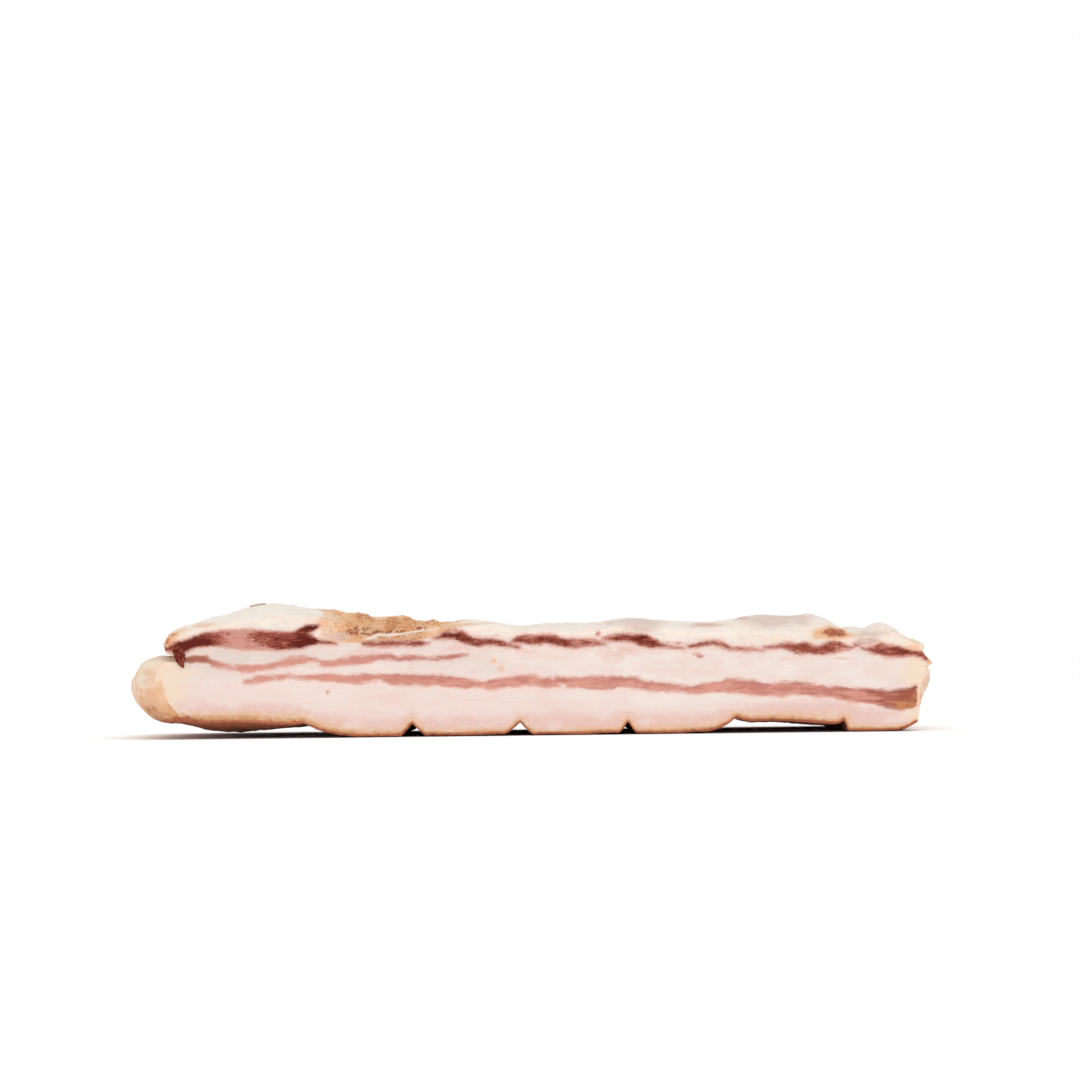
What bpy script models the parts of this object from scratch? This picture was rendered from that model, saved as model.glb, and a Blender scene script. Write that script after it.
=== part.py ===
"""Pancetta: a thick piece of flat cured pork belly, cut straight across at the front and at the back.

It is one solid. The rind is underneath, pressed into folds by the bars that it cured on. The top is
the flesh side, soft and uneven, with shallow beds where the ribs were. At the left end the lower fat
bulges out under a thinner flap, with a cleft between them. The lean layers run right through, and on
the two cut faces they are sunk a little below the fat, because lean dries and shrinks more.

Frame: X along the cut, Y from the front cut to the back cut, Z up, origin under the middle.
Sizes are in millimetres. MM turns them into Blender's metres, once, in shape_slab().
"""

import math

import bmesh
import bpy
from mathutils import Vector, noise

MM = 0.001

# Whole piece
DEPTH = 140.0  # from cut to cut
LEFT_END, RIGHT_END = -136.5, 145.4  # where the top and the underside stop
END_BLEND = 40.0  # how far in from an end its shape is felt

# Top: a sloping crest line with humps, which rolls over towards both cuts
CREST_HEIGHT, CREST_SLOPE = 42.5, -0.022
HUMPS = (  # X, rise, half width
    (-97, 6.2, 15),
    (-72, 4.4, 14),
    (-46, 1.6, 12),
    (-15, 1.4, 9),
    (-3, -0.4, 11),
    (14, 0.6, 8),
    (41, 2.7, 15),
    (87, 4.6, 15),
    (109, 3.3, 9),
    (125, -2.6, 6.5),
    (135, 2.4, 5.0),
)
HUMP_WANDER, HUMP_WANDER_X, HUMP_WANDER_Y = 5.0, 60.0, 34.0  # how far a hump strays sideways on its way back
BACK_FALL, BACK_FALL_START = 2.6, 34.0  # the piece gets a little thinner towards the back
RIB_BEDS = (-68, -37, -6, 28, 61, 88, 122)  # shallow valleys where the ribs lay, running front to back
RIB_BED_DEPTH, RIB_BED_WIDTH, RIB_BED_START, RIB_BED_RUN = 2.0, 9.0, 16.0, 24.0
RIB_BED_WANDER, RIB_BED_WANDER_Y = 2.5, 30.0
RIB_SLANT = 0.07  # humps and rib beds run back at this slant
ROLL_OVER, ROLL_POWER = 24.0, 2.4  # how far behind a cut the crest is reached, and how quickly
EDGE_DROP = 3.6  # how far the cut's top edge lies below the crest
FRONT_DROPS = ((-100, 2.4, 14), (-62, 5.0, 14), (91, 5.0, 18), (131, 3.0, 9), (147, -1.4, 6))
BACK_DROPS = ((-84, 3.0, 20), (-20, 2.2, 16), (38, 3.4, 22), (112, 2.6, 15))
TOP_UNREST, TOP_UNREST_X, TOP_UNREST_Y = 1.3, 30.0, 24.0
RIGHT_TOP_FALL, RIGHT_TOP_RUN, RIGHT_TOP_POWER = 5.4, 13.0, 1.2
LEFT_TOP_FALL, LEFT_TOP_RUN, LEFT_TOP_POWER = 5.0, 22.0, 2.0
TORN = (-77.0, -29.0, 2.0, 21.0)  # torn, crumbly patch: from X, to X, and from and to behind the front cut
TORN_MARGIN = 5.0
CRAG_HEIGHT, CRAG_SIZE = 1.5, 5.5

# Underside: folds in the rind at an even pitch, and how high each panel between them rests
FOLD_FIRST, FOLD_PITCH = -85.4, 40.6
FOLDS = (  # height at the fold, width of its left flank, width of its right flank
    (5.6, 6.0, 20.0),
    (4.9, 5.4, 5.4),
    (4.9, 5.8, 5.8),
    (4.5, 4.4, 4.4),
    (5.8, 15.0, 6.0),
    (5.3, 6.0, 4.2),
)
PANELS = (5.4, 0.0, 0.0, 0.0, 0.0, 4.3, 0.0)
SHORT_FLANK, LONG_FLANK = 6.0, 14.0  # widths at which a flank is nearly straight, and well hollowed
FLANK_POWER, LONG_FLANK_POWER = 1.35, 2.4
FOLD_WANDER, FOLD_WANDER_Y = 0.8, 38.0
LEFT_BELLY = (-112.0, 27.0)  # centre and half width of the part of the left panel that sags down
LEFT_BELLY_START, LEFT_BELLY_RUN, BELLY_SAG = 3.0, 34.0, 0.78
RIGHT_HEEL, RIGHT_HEEL_RUN = 3.0, 8.0
UNDER_UNREST, UNDER_UNREST_X, UNDER_UNREST_Y = 0.7, 19.0, 24.0

# Left end: the lower fat's round bulge, the cleft above it and the flap
BULGE_AT_CUT, BULGE_BEHIND, BULGE_RUN = 4.0, 17.0, 26.0
BULGE_ROWS, BULGE_TOP, BULGE_SQUARENESS = 0.6, 0.735, 0.85
CLEFT_ROW, CLEFT_SPREAD = 0.66, 0.05
CLEFT_DEPTH, CLEFT_SAG, CLEFT_UNEVEN, CLEFT_UNEVEN_Y = 7.4, 0.085, 0.5, 19.0
FLAP_AT_CUT, FLAP_BEHIND = 0.6, 2.6

# Right end: nearly upright, with the middle fat and the tip of the dark lean standing out
SIDE_OUT, SHOULDER_OUT, SHOULDER_ROW = 0.7, 2.6, 0.8
MIDDLE_ROW, MIDDLE_SPREAD, MIDDLE_OUT, MIDDLE_RUN = 0.58, 0.2, 5.0, 22.0
TIP_ROW, TIP_SPREAD, TIP_OUT, TIP_SAG = 0.82, 0.055, 3.6, 0.05
TIP_UNEVEN, TIP_UNEVEN_Y = 0.3, 17.0
END_UNREST, END_UNREST_Y, END_UNREST_ROWS = 2.4, 24.0, 3.0  # both ends

# Lean: a long pale layer, a thin one above it on the left, and a row of dark lenses near the top
LEAN_SUNK = 0.45
LONG_START, LONG_STOP = -108.0, 146.0
LONG_HEIGHT, LONG_SLOPE, LONG_BOW, LONG_BOW_REACH = 19.0, -0.043, 1.2, 130.0
LONG_RIPPLE, LONG_RIPPLE_X = 0.5, 11.0
LONG_THICK = 4.4
LONG_SWELLS = ((26, 0.9, 12), (54, -1.8, 10), (79, 0.7, 12), (133, 2.8, 10))
LONG_TAPERS = (35.0, 3.0)  # length of the pointed left end, and of the blunt right end
THIN_START, THIN_STOP = -129.0, -26.0
THIN_HEIGHT, THIN_WAVE, THIN_WAVE_LENGTH, THIN_PHASE = 28.5, 1.2, 34.0, 98.0
THIN_THICK = 3.0
LENSES = (  # first X, last X, height at first X, height at last X, thickness, bow
    (-134, -73, 34.9, 35.9, 7.4, 1.6),
    (-63, -38, 35.3, 35.0, 2.0, 0.0),
    (-36, -4, 37.2, 32.8, 3.2, 0.6),
    (-9, 29, 35.6, 33.8, 3.6, 0.7),
    (27, 61, 36.2, 32.0, 4.2, 0.8),
    (60, 85, 33.0, 30.8, 2.4, 1.0),
    (90, 122, 32.0, 31.6, 4.4, 0.0),
    (123, 151, 33.0, 26.6, 4.6, 0.4),
)
LENS_LINE, LENS_LINE_SLOPE, LENS_LINE_WEIGHT = 33.9, -0.026, 0.3  # the line that the lenses hang on
LONG_BLUNTNESS, THIN_BLUNTNESS, LENS_BLUNTNESS = 0.6, 0.4, 0.7  # the smaller, the fuller a layer's ends
LAYER_DRIFT, DRIFT_START, DRIFT_X, DRIFT_Y = 1.0, 20.0, 60.0, 34.0  # how a layer strays on its way through

# Cut faces
CUT_WAVER, CUT_WAVER_X, CUT_WAVER_Z = 0.5, 48.0, 30.0
LENS_COVER = 1.2  # least fat over a dark lens

NOISE_REACH = 1.6  # brings smooth noise to a reach of about 1

# The grid that the surface is built on
COLUMN_PITCH, TORN_PITCH = 5.6, 3.0
FOLD_GRIP = 11.0
FOLD_COLUMNS = (-4.4, -2.2, -0.9, 0.0, 0.9, 2.2, 4.4)
CLEAR_OF_FOLD = 5.9  # no other column comes nearer to a fold
FROM_FRONT = (1.5, 4.5, 8.0, 12.0, 17.0, 24.0, 40.0, 60.0)
FROM_BACK = (1.5, 5.0, 12.0, 24.0, 42.0, 60.0)
RIND = 1.8
SKIN_TOP = 0.4  # the left end shows rind up to this share of its height
SMOOTH_BELOW = 50.0  # degrees
ROWS = (0.05, 0.15, 0.28, 0.36, 0.44, 0.56, 0.66, 0.74, 0.82, 0.88, 0.94)
THINNEST = 0.7  # least height between two rows
THIN_MERGE, THIN_MERGE_RUN = 10.0, 30.0  # past the thin layer its rows ease to halfway between the others

COLOURS = {  # base colour and roughness
    "fat": ((0.86, 0.68, 0.60), 0.45),
    "lean": ((0.40, 0.14, 0.11), 0.5),
    "rind": ((0.66, 0.38, 0.20), 0.6),
}


def clamp(t):
    return min(1.0, max(0.0, t))


def mix(a, b, t):
    return a + (b - a) * t


def ease(t):
    """0 to 1 with a soft start and a soft stop."""
    t = clamp(t)
    return t * t * (3 - 2 * t)


def rise(t):
    """0 to 1 with a quick start and a soft stop, as a soft edge rolls over."""
    return 1 - (1 - clamp(t)) ** ROLL_POWER


def bump(x, centre, half_width):
    return math.exp(-(((x - centre) / half_width) ** 2))


def bumps(x, table):
    return sum(height * bump(x, centre, half_width) for centre, height, half_width in table)


def unrest(a, b, pattern=0.0):
    """A smooth uneven value between about -1 and 1. Each use has a pattern of its own."""
    return noise.noise(Vector((a, b, pattern))) * NOISE_REACH


def from_cut(y):
    return DEPTH / 2 - abs(y)


def back_share(y):
    """0 at the front cut, 1 at the back cut."""
    return ease(0.5 + y / DEPTH)


def torn_here(x, y):
    """1 inside the torn patch, 0 outside it, with a soft margin."""
    first, last, near, far = TORN
    inside = min(x - first, last - x, from_cut(y) - near, far - from_cut(y))
    return ease(inside / TORN_MARGIN) if y < 0 else 0.0


def top_height(x, y):
    along = x + RIB_SLANT * (y + DEPTH / 2)
    stray = unrest(x / HUMP_WANDER_X, y / HUMP_WANDER_Y, 5.5)
    along += HUMP_WANDER * stray * ease((y + DEPTH / 2) / BACK_FALL_START)
    crest = CREST_HEIGHT + CREST_SLOPE * x + bumps(along, HUMPS)
    crest -= BACK_FALL * ease((y + DEPTH / 2 - BACK_FALL_START) / (DEPTH - BACK_FALL_START))
    drop = EDGE_DROP + mix(bumps(x, FRONT_DROPS), bumps(x, BACK_DROPS), back_share(y))
    inner = rise(from_cut(y) / ROLL_OVER)
    height = crest - drop * (1 - inner)
    for rib in RIB_BEDS:
        place = rib - RIB_BED_WANDER * unrest(rib, y / RIB_BED_WANDER_Y, 2.2)
        bed = bump(along, place, RIB_BED_WIDTH) * ease((from_cut(y) - RIB_BED_START) / RIB_BED_RUN)
        height -= RIB_BED_DEPTH * bed
    height -= RIGHT_TOP_FALL * (1 - clamp((RIGHT_END - x) / RIGHT_TOP_RUN)) ** RIGHT_TOP_POWER
    height -= LEFT_TOP_FALL * (1 - clamp((x - LEFT_END) / LEFT_TOP_RUN)) ** LEFT_TOP_POWER
    height += CRAG_HEIGHT * unrest(x / CRAG_SIZE, y / CRAG_SIZE, 8.8) * torn_here(x, y)
    return height + TOP_UNREST * (unrest(x / TOP_UNREST_X, y / TOP_UNREST_Y, 3.1) - 0.5) * inner


def fold_place(i, y):
    """X of a fold, which wanders a little on its way back from the front cut."""
    own = 3.7 * i
    astray = unrest(own, y / FOLD_WANDER_Y) - unrest(own, -DEPTH / 2 / FOLD_WANDER_Y)
    return FOLD_FIRST + FOLD_PITCH * i + FOLD_WANDER * astray


def follow_folds(x, y):
    """x moved along with the fold that it is near, so that the grid's columns stay on the folds."""
    nominal = [FOLD_FIRST + FOLD_PITCH * i for i in range(len(FOLDS))]
    return x + sum((fold_place(i, y) - place) * bump(x, place, FOLD_GRIP) for i, place in enumerate(nominal))


def underside_height(x, y):
    places = [fold_place(i, y) for i in range(len(FOLDS))]
    panel = PANELS[sum(x > place for place in places)]
    height = panel
    for place, (apex, left, right) in zip(places, FOLDS):
        width = left if x < place else right
        power = mix(FLANK_POWER, LONG_FLANK_POWER, ease((width - SHORT_FLANK) / (LONG_FLANK - SHORT_FLANK)))
        near = 1 - clamp(abs(x - place) / width)
        height = max(height, mix(panel, apex, near**power))
    belly = bump(x, *LEFT_BELLY) * rise((from_cut(y) - LEFT_BELLY_START) / LEFT_BELLY_RUN)
    height -= PANELS[0] * BELLY_SAG * belly
    height += RIGHT_HEEL * clamp((x - RIGHT_END + RIGHT_HEEL_RUN) / RIGHT_HEEL_RUN) ** 2
    height += UNDER_UNREST * (unrest(x / UNDER_UNREST_X, y / UNDER_UNREST_Y, 7.7) - 0.2)
    return max(0.0, height)


def end_unrest(row, y, pattern):
    """How far an end strays in and out; nothing at its top and bottom edges."""
    return END_UNREST * unrest(row * END_UNREST_ROWS, y / END_UNREST_Y, pattern) * math.sin(math.pi * row)


def left_end(row, y):
    """How far out the left end stands at this row, and its share of the height there."""
    inner = rise(from_cut(y) / BULGE_RUN)
    if row < BULGE_ROWS:
        turn = math.pi * row / BULGE_ROWS
        out = mix(BULGE_AT_CUT, BULGE_BEHIND, inner) * max(0.0, math.sin(turn)) ** BULGE_SQUARENESS
        share = BULGE_TOP * (1 - math.cos(turn)) / 2
    else:
        t = (row - BULGE_ROWS) / (1 - BULGE_ROWS)
        out = mix(FLAP_AT_CUT, FLAP_BEHIND, inner) * math.sin(math.pi * t)
        share = mix(BULGE_TOP, 1, t)
    cleft = bump(row, CLEFT_ROW, CLEFT_SPREAD)
    out += end_unrest(row, y, 1.3) * inner
    depth = CLEFT_DEPTH * (1 - CLEFT_UNEVEN * inner * (0.5 + unrest(y / CLEFT_UNEVEN_Y, 6.2)))
    return out - depth * cleft, share - CLEFT_SAG * cleft


def right_end(row, y):
    """How far out the right end stands at this row, and its share of the height there."""
    inner = rise(from_cut(y) / MIDDLE_RUN)
    out = SIDE_OUT * (1 - abs(2 * row - 1) ** 6)
    out += SHOULDER_OUT * ease((row - SHOULDER_ROW) / (1 - SHOULDER_ROW))
    out += MIDDLE_OUT * inner * bump(row, MIDDLE_ROW, MIDDLE_SPREAD)
    tip = bump(row, TIP_ROW, TIP_SPREAD)
    out += TIP_OUT * tip * (1 + TIP_UNEVEN * unrest(y / TIP_UNEVEN_Y, 4.4))
    out += end_unrest(row, y, 9.1) * inner
    return out, row - TIP_SAG * tip


def drift(x, y, layer):
    behind = y + DEPTH / 2
    return LAYER_DRIFT * unrest(x / DRIFT_X, behind / DRIFT_Y, 5.3 * layer) * ease(behind / DRIFT_START)


def long_lean(x, y):
    """Height of the middle of the long layer, and its thickness."""
    height = LONG_HEIGHT + LONG_SLOPE * x + LONG_BOW * (1 - (x / LONG_BOW_REACH) ** 2)
    height += LONG_RIPPLE * math.sin(x / LONG_RIPPLE_X)
    taper = min(clamp((x - LONG_START) / LONG_TAPERS[0]), clamp((LONG_STOP - x) / LONG_TAPERS[1]))
    return height + drift(x, y, 1), (LONG_THICK + bumps(x, LONG_SWELLS)) * taper**LONG_BLUNTNESS


def thin_lean(x, y):
    wave = THIN_WAVE * math.sin(2 * math.pi * (x + THIN_PHASE) / THIN_WAVE_LENGTH)
    t = clamp((x - THIN_START) / (THIN_STOP - THIN_START))
    return THIN_HEIGHT + wave + drift(x, y, 2), THIN_THICK * math.sin(math.pi * t) ** THIN_BLUNTNESS


def dark_lean(x, y):
    """Height and thickness of the row of dark lenses; between two lenses the thickness is next to nothing."""
    weight = LENS_LINE_WEIGHT
    height = weight * (LENS_LINE + LENS_LINE_SLOPE * x)
    thickest = 0.0
    for first, last, z_first, z_last, thickness, bow in LENSES:
        t = clamp((x - first) / (last - first))
        hump = math.sin(math.pi * t)
        here = thickness * hump**LENS_BLUNTNESS
        height += here * (mix(z_first, z_last, t) + bow * hump)
        weight += here
        thickest = max(thickest, here)
    return height / weight + drift(x, y, 3), thickest


def layer_rows(x, y):
    """Heights of the grid's rows on a cut face: rind, fat, and the edges and middles of the lean layers."""
    low, high = underside_height(x, y), top_height(x, y)
    z_long, t_long = long_lean(x, y)
    z_dark, t_dark = dark_lean(x, y)
    z_dark = min(z_dark, high - LENS_COVER - t_dark / 2)
    z_thin, t_thin = thin_lean(x, y)
    z_thin = mix(z_thin, (z_long + z_dark) / 2, ease((x - THIN_STOP + THIN_MERGE) / THIN_MERGE_RUN))
    heights = [low, low + RIND, (low + RIND + z_long) / 2]
    for middle, thick in ((z_long, t_long), (z_thin, t_thin), (z_dark, t_dark)):
        half = max(thick / 2, THINNEST)
        heights += [middle - half, middle, middle + half]
    for i in range(1, len(heights)):
        heights[i] = max(heights[i], heights[i - 1] + THINNEST)
    heights.append(high)
    for i in range(len(heights) - 2, 0, -1):
        heights[i] = min(heights[i], heights[i + 1] - THINNEST)
    return heights


def lean_here(x, y, z):
    """True where a cut or a side shows lean."""
    for middle, thick in (long_lean(x, y), thin_lean(x, y), dark_lean(x, y)):
        if abs(z - middle) < thick / 2:
            return True
    return False


def section_point(u, row, y):
    """A point of the slab's section at depth y. u runs from left to right, and row from bottom to top."""
    x = follow_folds(mix(LEFT_END, RIGHT_END, u), y)
    levels = (0.0, *ROWS, 1.0)
    heights = layer_rows(x, y)
    z = heights[min(range(len(levels)), key=lambda i: abs(levels[i] - row))]
    for end, sign, profile in ((LEFT_END, -1, left_end), (RIGHT_END, 1, right_end)):
        felt = (1 - clamp(abs(x - end) / END_BLEND)) ** 2
        if felt:
            out, share = profile(row, y)
            rest = layer_rows(end, y)
            at_end = mix(rest[0], rest[-1], share)
            own = rest[min(range(len(levels)), key=lambda i: abs(levels[i] - row))]
            z += felt * (at_end - own)
            x += felt * sign * out
    return x, z


def column_places():
    """Where the grid's columns stand, as shares of the length: evenly, and closer together at the folds."""
    length = RIGHT_END - LEFT_END
    folds = [FOLD_FIRST + FOLD_PITCH * i for i in range(len(FOLDS))]
    places = [fold + step for fold in folds for step in FOLD_COLUMNS]
    x = LEFT_END
    while x < RIGHT_END:
        x += TORN_PITCH if TORN[0] < x < TORN[1] else COLUMN_PITCH
        if x < RIGHT_END - COLUMN_PITCH / 2 and all(abs(x - fold) > CLEAR_OF_FOLD for fold in folds):
            places.append(x)
    return [(x - LEFT_END) / length for x in sorted(places)]


def depth_places():
    return [step / DEPTH for step in FROM_FRONT] + [1 - step / DEPTH for step in reversed(FROM_BACK)]


def slice_block(block, places, axis):
    """Divides the block's faces by a plane across the axis at each place."""
    normal = Vector((axis == 0, axis == 1, axis == 2))
    for place in places:
        everything = block.verts[:] + block.edges[:] + block.faces[:]
        bmesh.ops.bisect_plane(block, geom=everything, plane_co=normal * place, plane_no=normal)


def cut_sink(x, y, z):
    """How far a point of a cut face lies behind the flat cut: the knife's waver, and the lean's shrinkage."""
    sunk = LEAN_SUNK if lean_here(x, y, z) else 0.0
    return sunk + CUT_WAVER * (0.5 + 0.5 * unrest(x / CUT_WAVER_X, z / CUT_WAVER_Z, y))


def shape_slab(block):
    """Moves each point of the unit block to its place on the slab, and gives each face its tissue."""
    on_cut = [v for v in block.verts if v.co.y in (0.0, 1.0)]
    skin_faces = [f for f in block.faces if all(v.co.z == 0.0 for v in f.verts)]
    skin_faces += [f for f in block.faces if all(v.co.x == 0.0 and v.co.z < SKIN_TOP for v in f.verts)]
    side_faces = [f for f in block.faces if len({round(v.co.z, 6) for v in f.verts}) > 1]
    for v in block.verts:
        u, share, row = v.co
        y = mix(-DEPTH / 2, DEPTH / 2, share)
        x, z = section_point(u, row, y)
        v.co = (x, y, z)
    for v in on_cut:
        x, y, z = v.co
        v.co.y -= math.copysign(cut_sink(x, y, z), y)
    for face in side_faces:
        middle = face.calc_center_median()
        if lean_here(*middle):
            face.material_index = 1
    for face in skin_faces:
        face.material_index = 2
    lowest = Vector(min(v.co[k] for v in block.verts) for k in range(3))
    highest = Vector(max(v.co[k] for v in block.verts) for k in range(3))
    middle = (lowest + highest) / 2
    for v in block.verts:
        v.co = (v.co - Vector((middle.x, middle.y, lowest.z))) * MM


def tissue_material(name):
    colour, roughness = COLOURS[name]
    material = bpy.data.materials.new(name)
    material.use_nodes = True
    shader = material.node_tree.nodes["Principled BSDF"]
    shader.inputs["Base Color"].default_value = (*colour, 1.0)
    shader.inputs["Roughness"].default_value = roughness
    shader.inputs["Metallic"].default_value = 0.0
    material.diffuse_color = (*colour, 1.0)
    return material


def pancetta_slab(collection):
    block = bmesh.new()
    bmesh.ops.create_cube(block, size=1.0)
    bmesh.ops.translate(block, vec=(0.5, 0.5, 0.5), verts=block.verts[:])
    slice_block(block, column_places(), axis=0)
    slice_block(block, depth_places(), axis=1)
    slice_block(block, ROWS, axis=2)
    shape_slab(block)
    bmesh.ops.triangulate(block, faces=block.faces[:], quad_method="SHORT_EDGE")
    mesh = bpy.data.meshes.new("pancetta_slab")
    block.to_mesh(mesh)
    block.free()
    for name in COLOURS:
        mesh.materials.append(tissue_material(name))
    mesh.shade_smooth()
    mesh.set_sharp_from_angle(angle=math.radians(SMOOTH_BELOW))
    slab = bpy.data.objects.new("pancetta_slab", mesh)
    collection.objects.link(slab)
    return slab


def main():
    for old in list(bpy.data.objects):
        bpy.data.objects.remove(old)
    collection = bpy.data.collections.new("pancetta")
    bpy.context.scene.collection.children.link(collection)
    slab = pancetta_slab(collection)
    size = [round(side / MM, 1) for side in slab.dimensions]
    print("pancetta", size, "mm,", len(slab.data.polygons), "triangles")


main()
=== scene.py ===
"""A thick slab of flat cured pork belly, cut straight across: its looks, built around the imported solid.

The slab is one closed surface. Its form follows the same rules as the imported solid, on a much finer
net, and every point carries how deep it lies in the rind, the fat and the lean layers. The fine
relief and the finish both read those depths. Crumbs, flakes and scraps lie on it as pieces of
their own. Lengths in the rules are millimetres; MM turns them into metres.
"""

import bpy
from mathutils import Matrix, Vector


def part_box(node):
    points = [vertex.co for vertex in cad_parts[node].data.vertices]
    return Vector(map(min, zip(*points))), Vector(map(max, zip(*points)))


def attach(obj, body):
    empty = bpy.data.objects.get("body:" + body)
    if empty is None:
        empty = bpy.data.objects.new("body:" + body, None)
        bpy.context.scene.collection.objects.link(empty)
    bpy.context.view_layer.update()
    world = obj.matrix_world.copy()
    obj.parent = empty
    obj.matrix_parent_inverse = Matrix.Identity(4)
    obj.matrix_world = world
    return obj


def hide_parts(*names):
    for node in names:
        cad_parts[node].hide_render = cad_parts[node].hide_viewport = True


bl_info = {
    "name": "Cured Belly Slab",
    "version": (1, 0, 0),
    "blender": (4, 5, 0),
    "location": "3D View > Sidebar > Cured Belly",
    "description": "Builds a slab of flat cured pork belly with its rind, fat, lean and torn crust",
    "category": "Object",
}

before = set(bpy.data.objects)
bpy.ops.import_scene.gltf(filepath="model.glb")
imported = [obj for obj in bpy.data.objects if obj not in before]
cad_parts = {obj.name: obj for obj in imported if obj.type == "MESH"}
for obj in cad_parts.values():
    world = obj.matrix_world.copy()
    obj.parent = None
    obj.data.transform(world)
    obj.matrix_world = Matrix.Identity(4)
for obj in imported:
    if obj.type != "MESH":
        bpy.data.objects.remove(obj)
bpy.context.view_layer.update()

import math
from array import array
from collections import defaultdict, namedtuple

import bmesh
import bpy
from bpy.props import FloatProperty, FloatVectorProperty, IntProperty, PointerProperty
from mathutils import Matrix, Vector, noise

MM = 0.001
NODE = "pancetta_slab"
SLAB = "cured_belly"

# Form of the slab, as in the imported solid
DEPTH = 140.0
LEFT_END, RIGHT_END = -136.5, 145.4
ENDS = (("left", LEFT_END, -1), ("right", RIGHT_END, 1))  # name, X, way out
END_BLEND = 40.0
CREST_HEIGHT, CREST_SLOPE = 42.5, -0.022
HUMPS = (  # X, rise, half width
    (-97, 6.2, 15), (-72, 4.4, 14), (-46, 1.6, 12), (-15, 1.4, 9), (-3, -0.4, 11), (14, -0.5, 8),
    (40, 2.6, 12.5), (87, 4.6, 15), (109, 3.3, 9), (125, -2.6, 6.5), (135, 2.4, 5.0),
)
HUMP_WANDER, HUMP_WANDER_X, HUMP_WANDER_Y = 5.0, 60.0, 34.0
BACK_FALL, BACK_FALL_START = 2.6, 34.0
RIB_BEDS = (-68, -37, -6, 28, 61, 88, 122)
RIB_BED_DEPTH, RIB_BED_WIDTH, RIB_BED_START, RIB_BED_RUN = 2.0, 9.0, 16.0, 24.0
RIB_BED_WANDER, RIB_BED_WANDER_Y = 2.5, 30.0
RIB_SLANT = 0.07
ROLL_OVER, ROLL_POWER = 24.0, 2.4
EDGE_DROP = 3.6
FRONT_DROPS = ((-100, 2.4, 14), (-62, 5.0, 14), (91, 5.0, 18), (131, 2.0, 8), (147, -1.4, 6))
BACK_DROPS = ((-84, 3.0, 20), (-20, 2.2, 16), (38, 3.4, 22), (112, 2.6, 15))
TOP_UNREST, TOP_UNREST_X, TOP_UNREST_Y = 1.3, 30.0, 24.0
RIGHT_TOP_FALL, RIGHT_TOP_RUN, RIGHT_TOP_POWER = 5.4, 13.0, 1.2
LEFT_TOP_FALL, LEFT_TOP_RUN, LEFT_TOP_POWER = 5.0, 22.0, 2.0
TORN = (-77.0, -29.0, 2.0, 21.0)  # from X, to X, from and to behind the front cut
TORN_MARGIN = 5.0
CRAG_HEIGHT, CRAG_SIZE = 1.5, 5.5
FOLD_FIRST, FOLD_PITCH = -85.4, 40.6
FOLDS = (  # height at the fold, width of its left flank, width of its right flank
    (5.6, 6.0, 20.0),
    (4.9, 5.4, 5.4),
    (4.9, 5.8, 5.8),
    (4.5, 3.4, 3.4),
    (5.8, 15.0, 6.0),
    (5.8, 3.0, 1.8),
)
PANELS = (5.4, 0.0, 0.0, 0.0, 0.0, 4.3, 0.0)
SHORT_FLANK, LONG_FLANK = 6.0, 14.0
FLANK_POWER, LONG_FLANK_POWER = 1.35, 2.4
FOLD_WANDER, FOLD_WANDER_Y, FOLD_GRIP = 0.3, 38.0, 11.0
LEFT_BELLY = (-112.0, 27.0)
LEFT_BELLY_START, LEFT_BELLY_RUN, BELLY_SAG = 3.0, 34.0, 0.62
RIGHT_HEEL, RIGHT_HEEL_RUN = 3.0, 8.0
RIGHT_SINK, RIGHT_SINK_FROM, RIGHT_SINK_RUN = 1.5, 86.0, 28.0
UNDER_UNREST, UNDER_UNREST_X, UNDER_UNREST_Y = 0.7, 19.0, 24.0
BULGE_AT_CUT, BULGE_BEHIND, BULGE_RUN = 4.8, 17.0, 26.0
BULGE_ROWS, BULGE_TOP, BULGE_SQUARENESS = 0.6, 0.735, 0.85
CLEFT_ROW, CLEFT_SPREAD = 0.66, 0.05
CLEFT_DEPTH, CLEFT_SAG, CLEFT_UNEVEN, CLEFT_UNEVEN_Y = 5.6, 0.02, 0.5, 19.0
FLAP_AT_CUT, FLAP_BEHIND = 0.6, 2.6
SIDE_OUT, SHOULDER_OUT, SHOULDER_ROW = 0.7, 2.6, 0.8
MIDDLE_ROW, MIDDLE_SPREAD, MIDDLE_OUT, MIDDLE_RUN = 0.58, 0.2, 2.4, 12.0
TIP_ROW, TIP_SPREAD, TIP_OUT, TIP_SAG = 0.82, 0.065, 3.2, 0.05
TIP_UNEVEN, TIP_UNEVEN_Y = 0.3, 17.0
UNDER_TIP_ROW, UNDER_TIP_SPREAD, UNDER_TIP_OUT = 0.67, 0.14, 3.2
RIGHT_SIDE, RIGHT_SIDE_ROW, RIGHT_SIDE_RUN = 2.4, 0.36, 0.2  # rounder edge of the upper right end
END_UNREST, END_UNREST_Y, END_UNREST_ROWS = 2.4, 24.0, 3.0
LAYER_DRIFT, DRIFT_START, DRIFT_X, DRIFT_Y = 1.0, 20.0, 60.0, 34.0
CUT_WAVER, CUT_WAVER_X, CUT_WAVER_Z, CUT_WAVER_REACH = 0.5, 48.0, 30.0, 4.0
LEFT_CORNER, LEFT_CORNER_ROWS, LEFT_SIDE = 4.0, 0.2, 2.2  # how round the left end is at its foot and above
LEFT_UNDER, LEFT_CORNER_REACH = 1.4, (-118.0, 20.0)
LEFT_TRIM, LEFT_TRIM_ROW, LEFT_TRIM_SPREAD = 2.6, 0.14, 0.1
LEFT_LIFT, LEFT_LIFT_FROM = 1.2, -124.0
NOISE_REACH = 1.6

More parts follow.
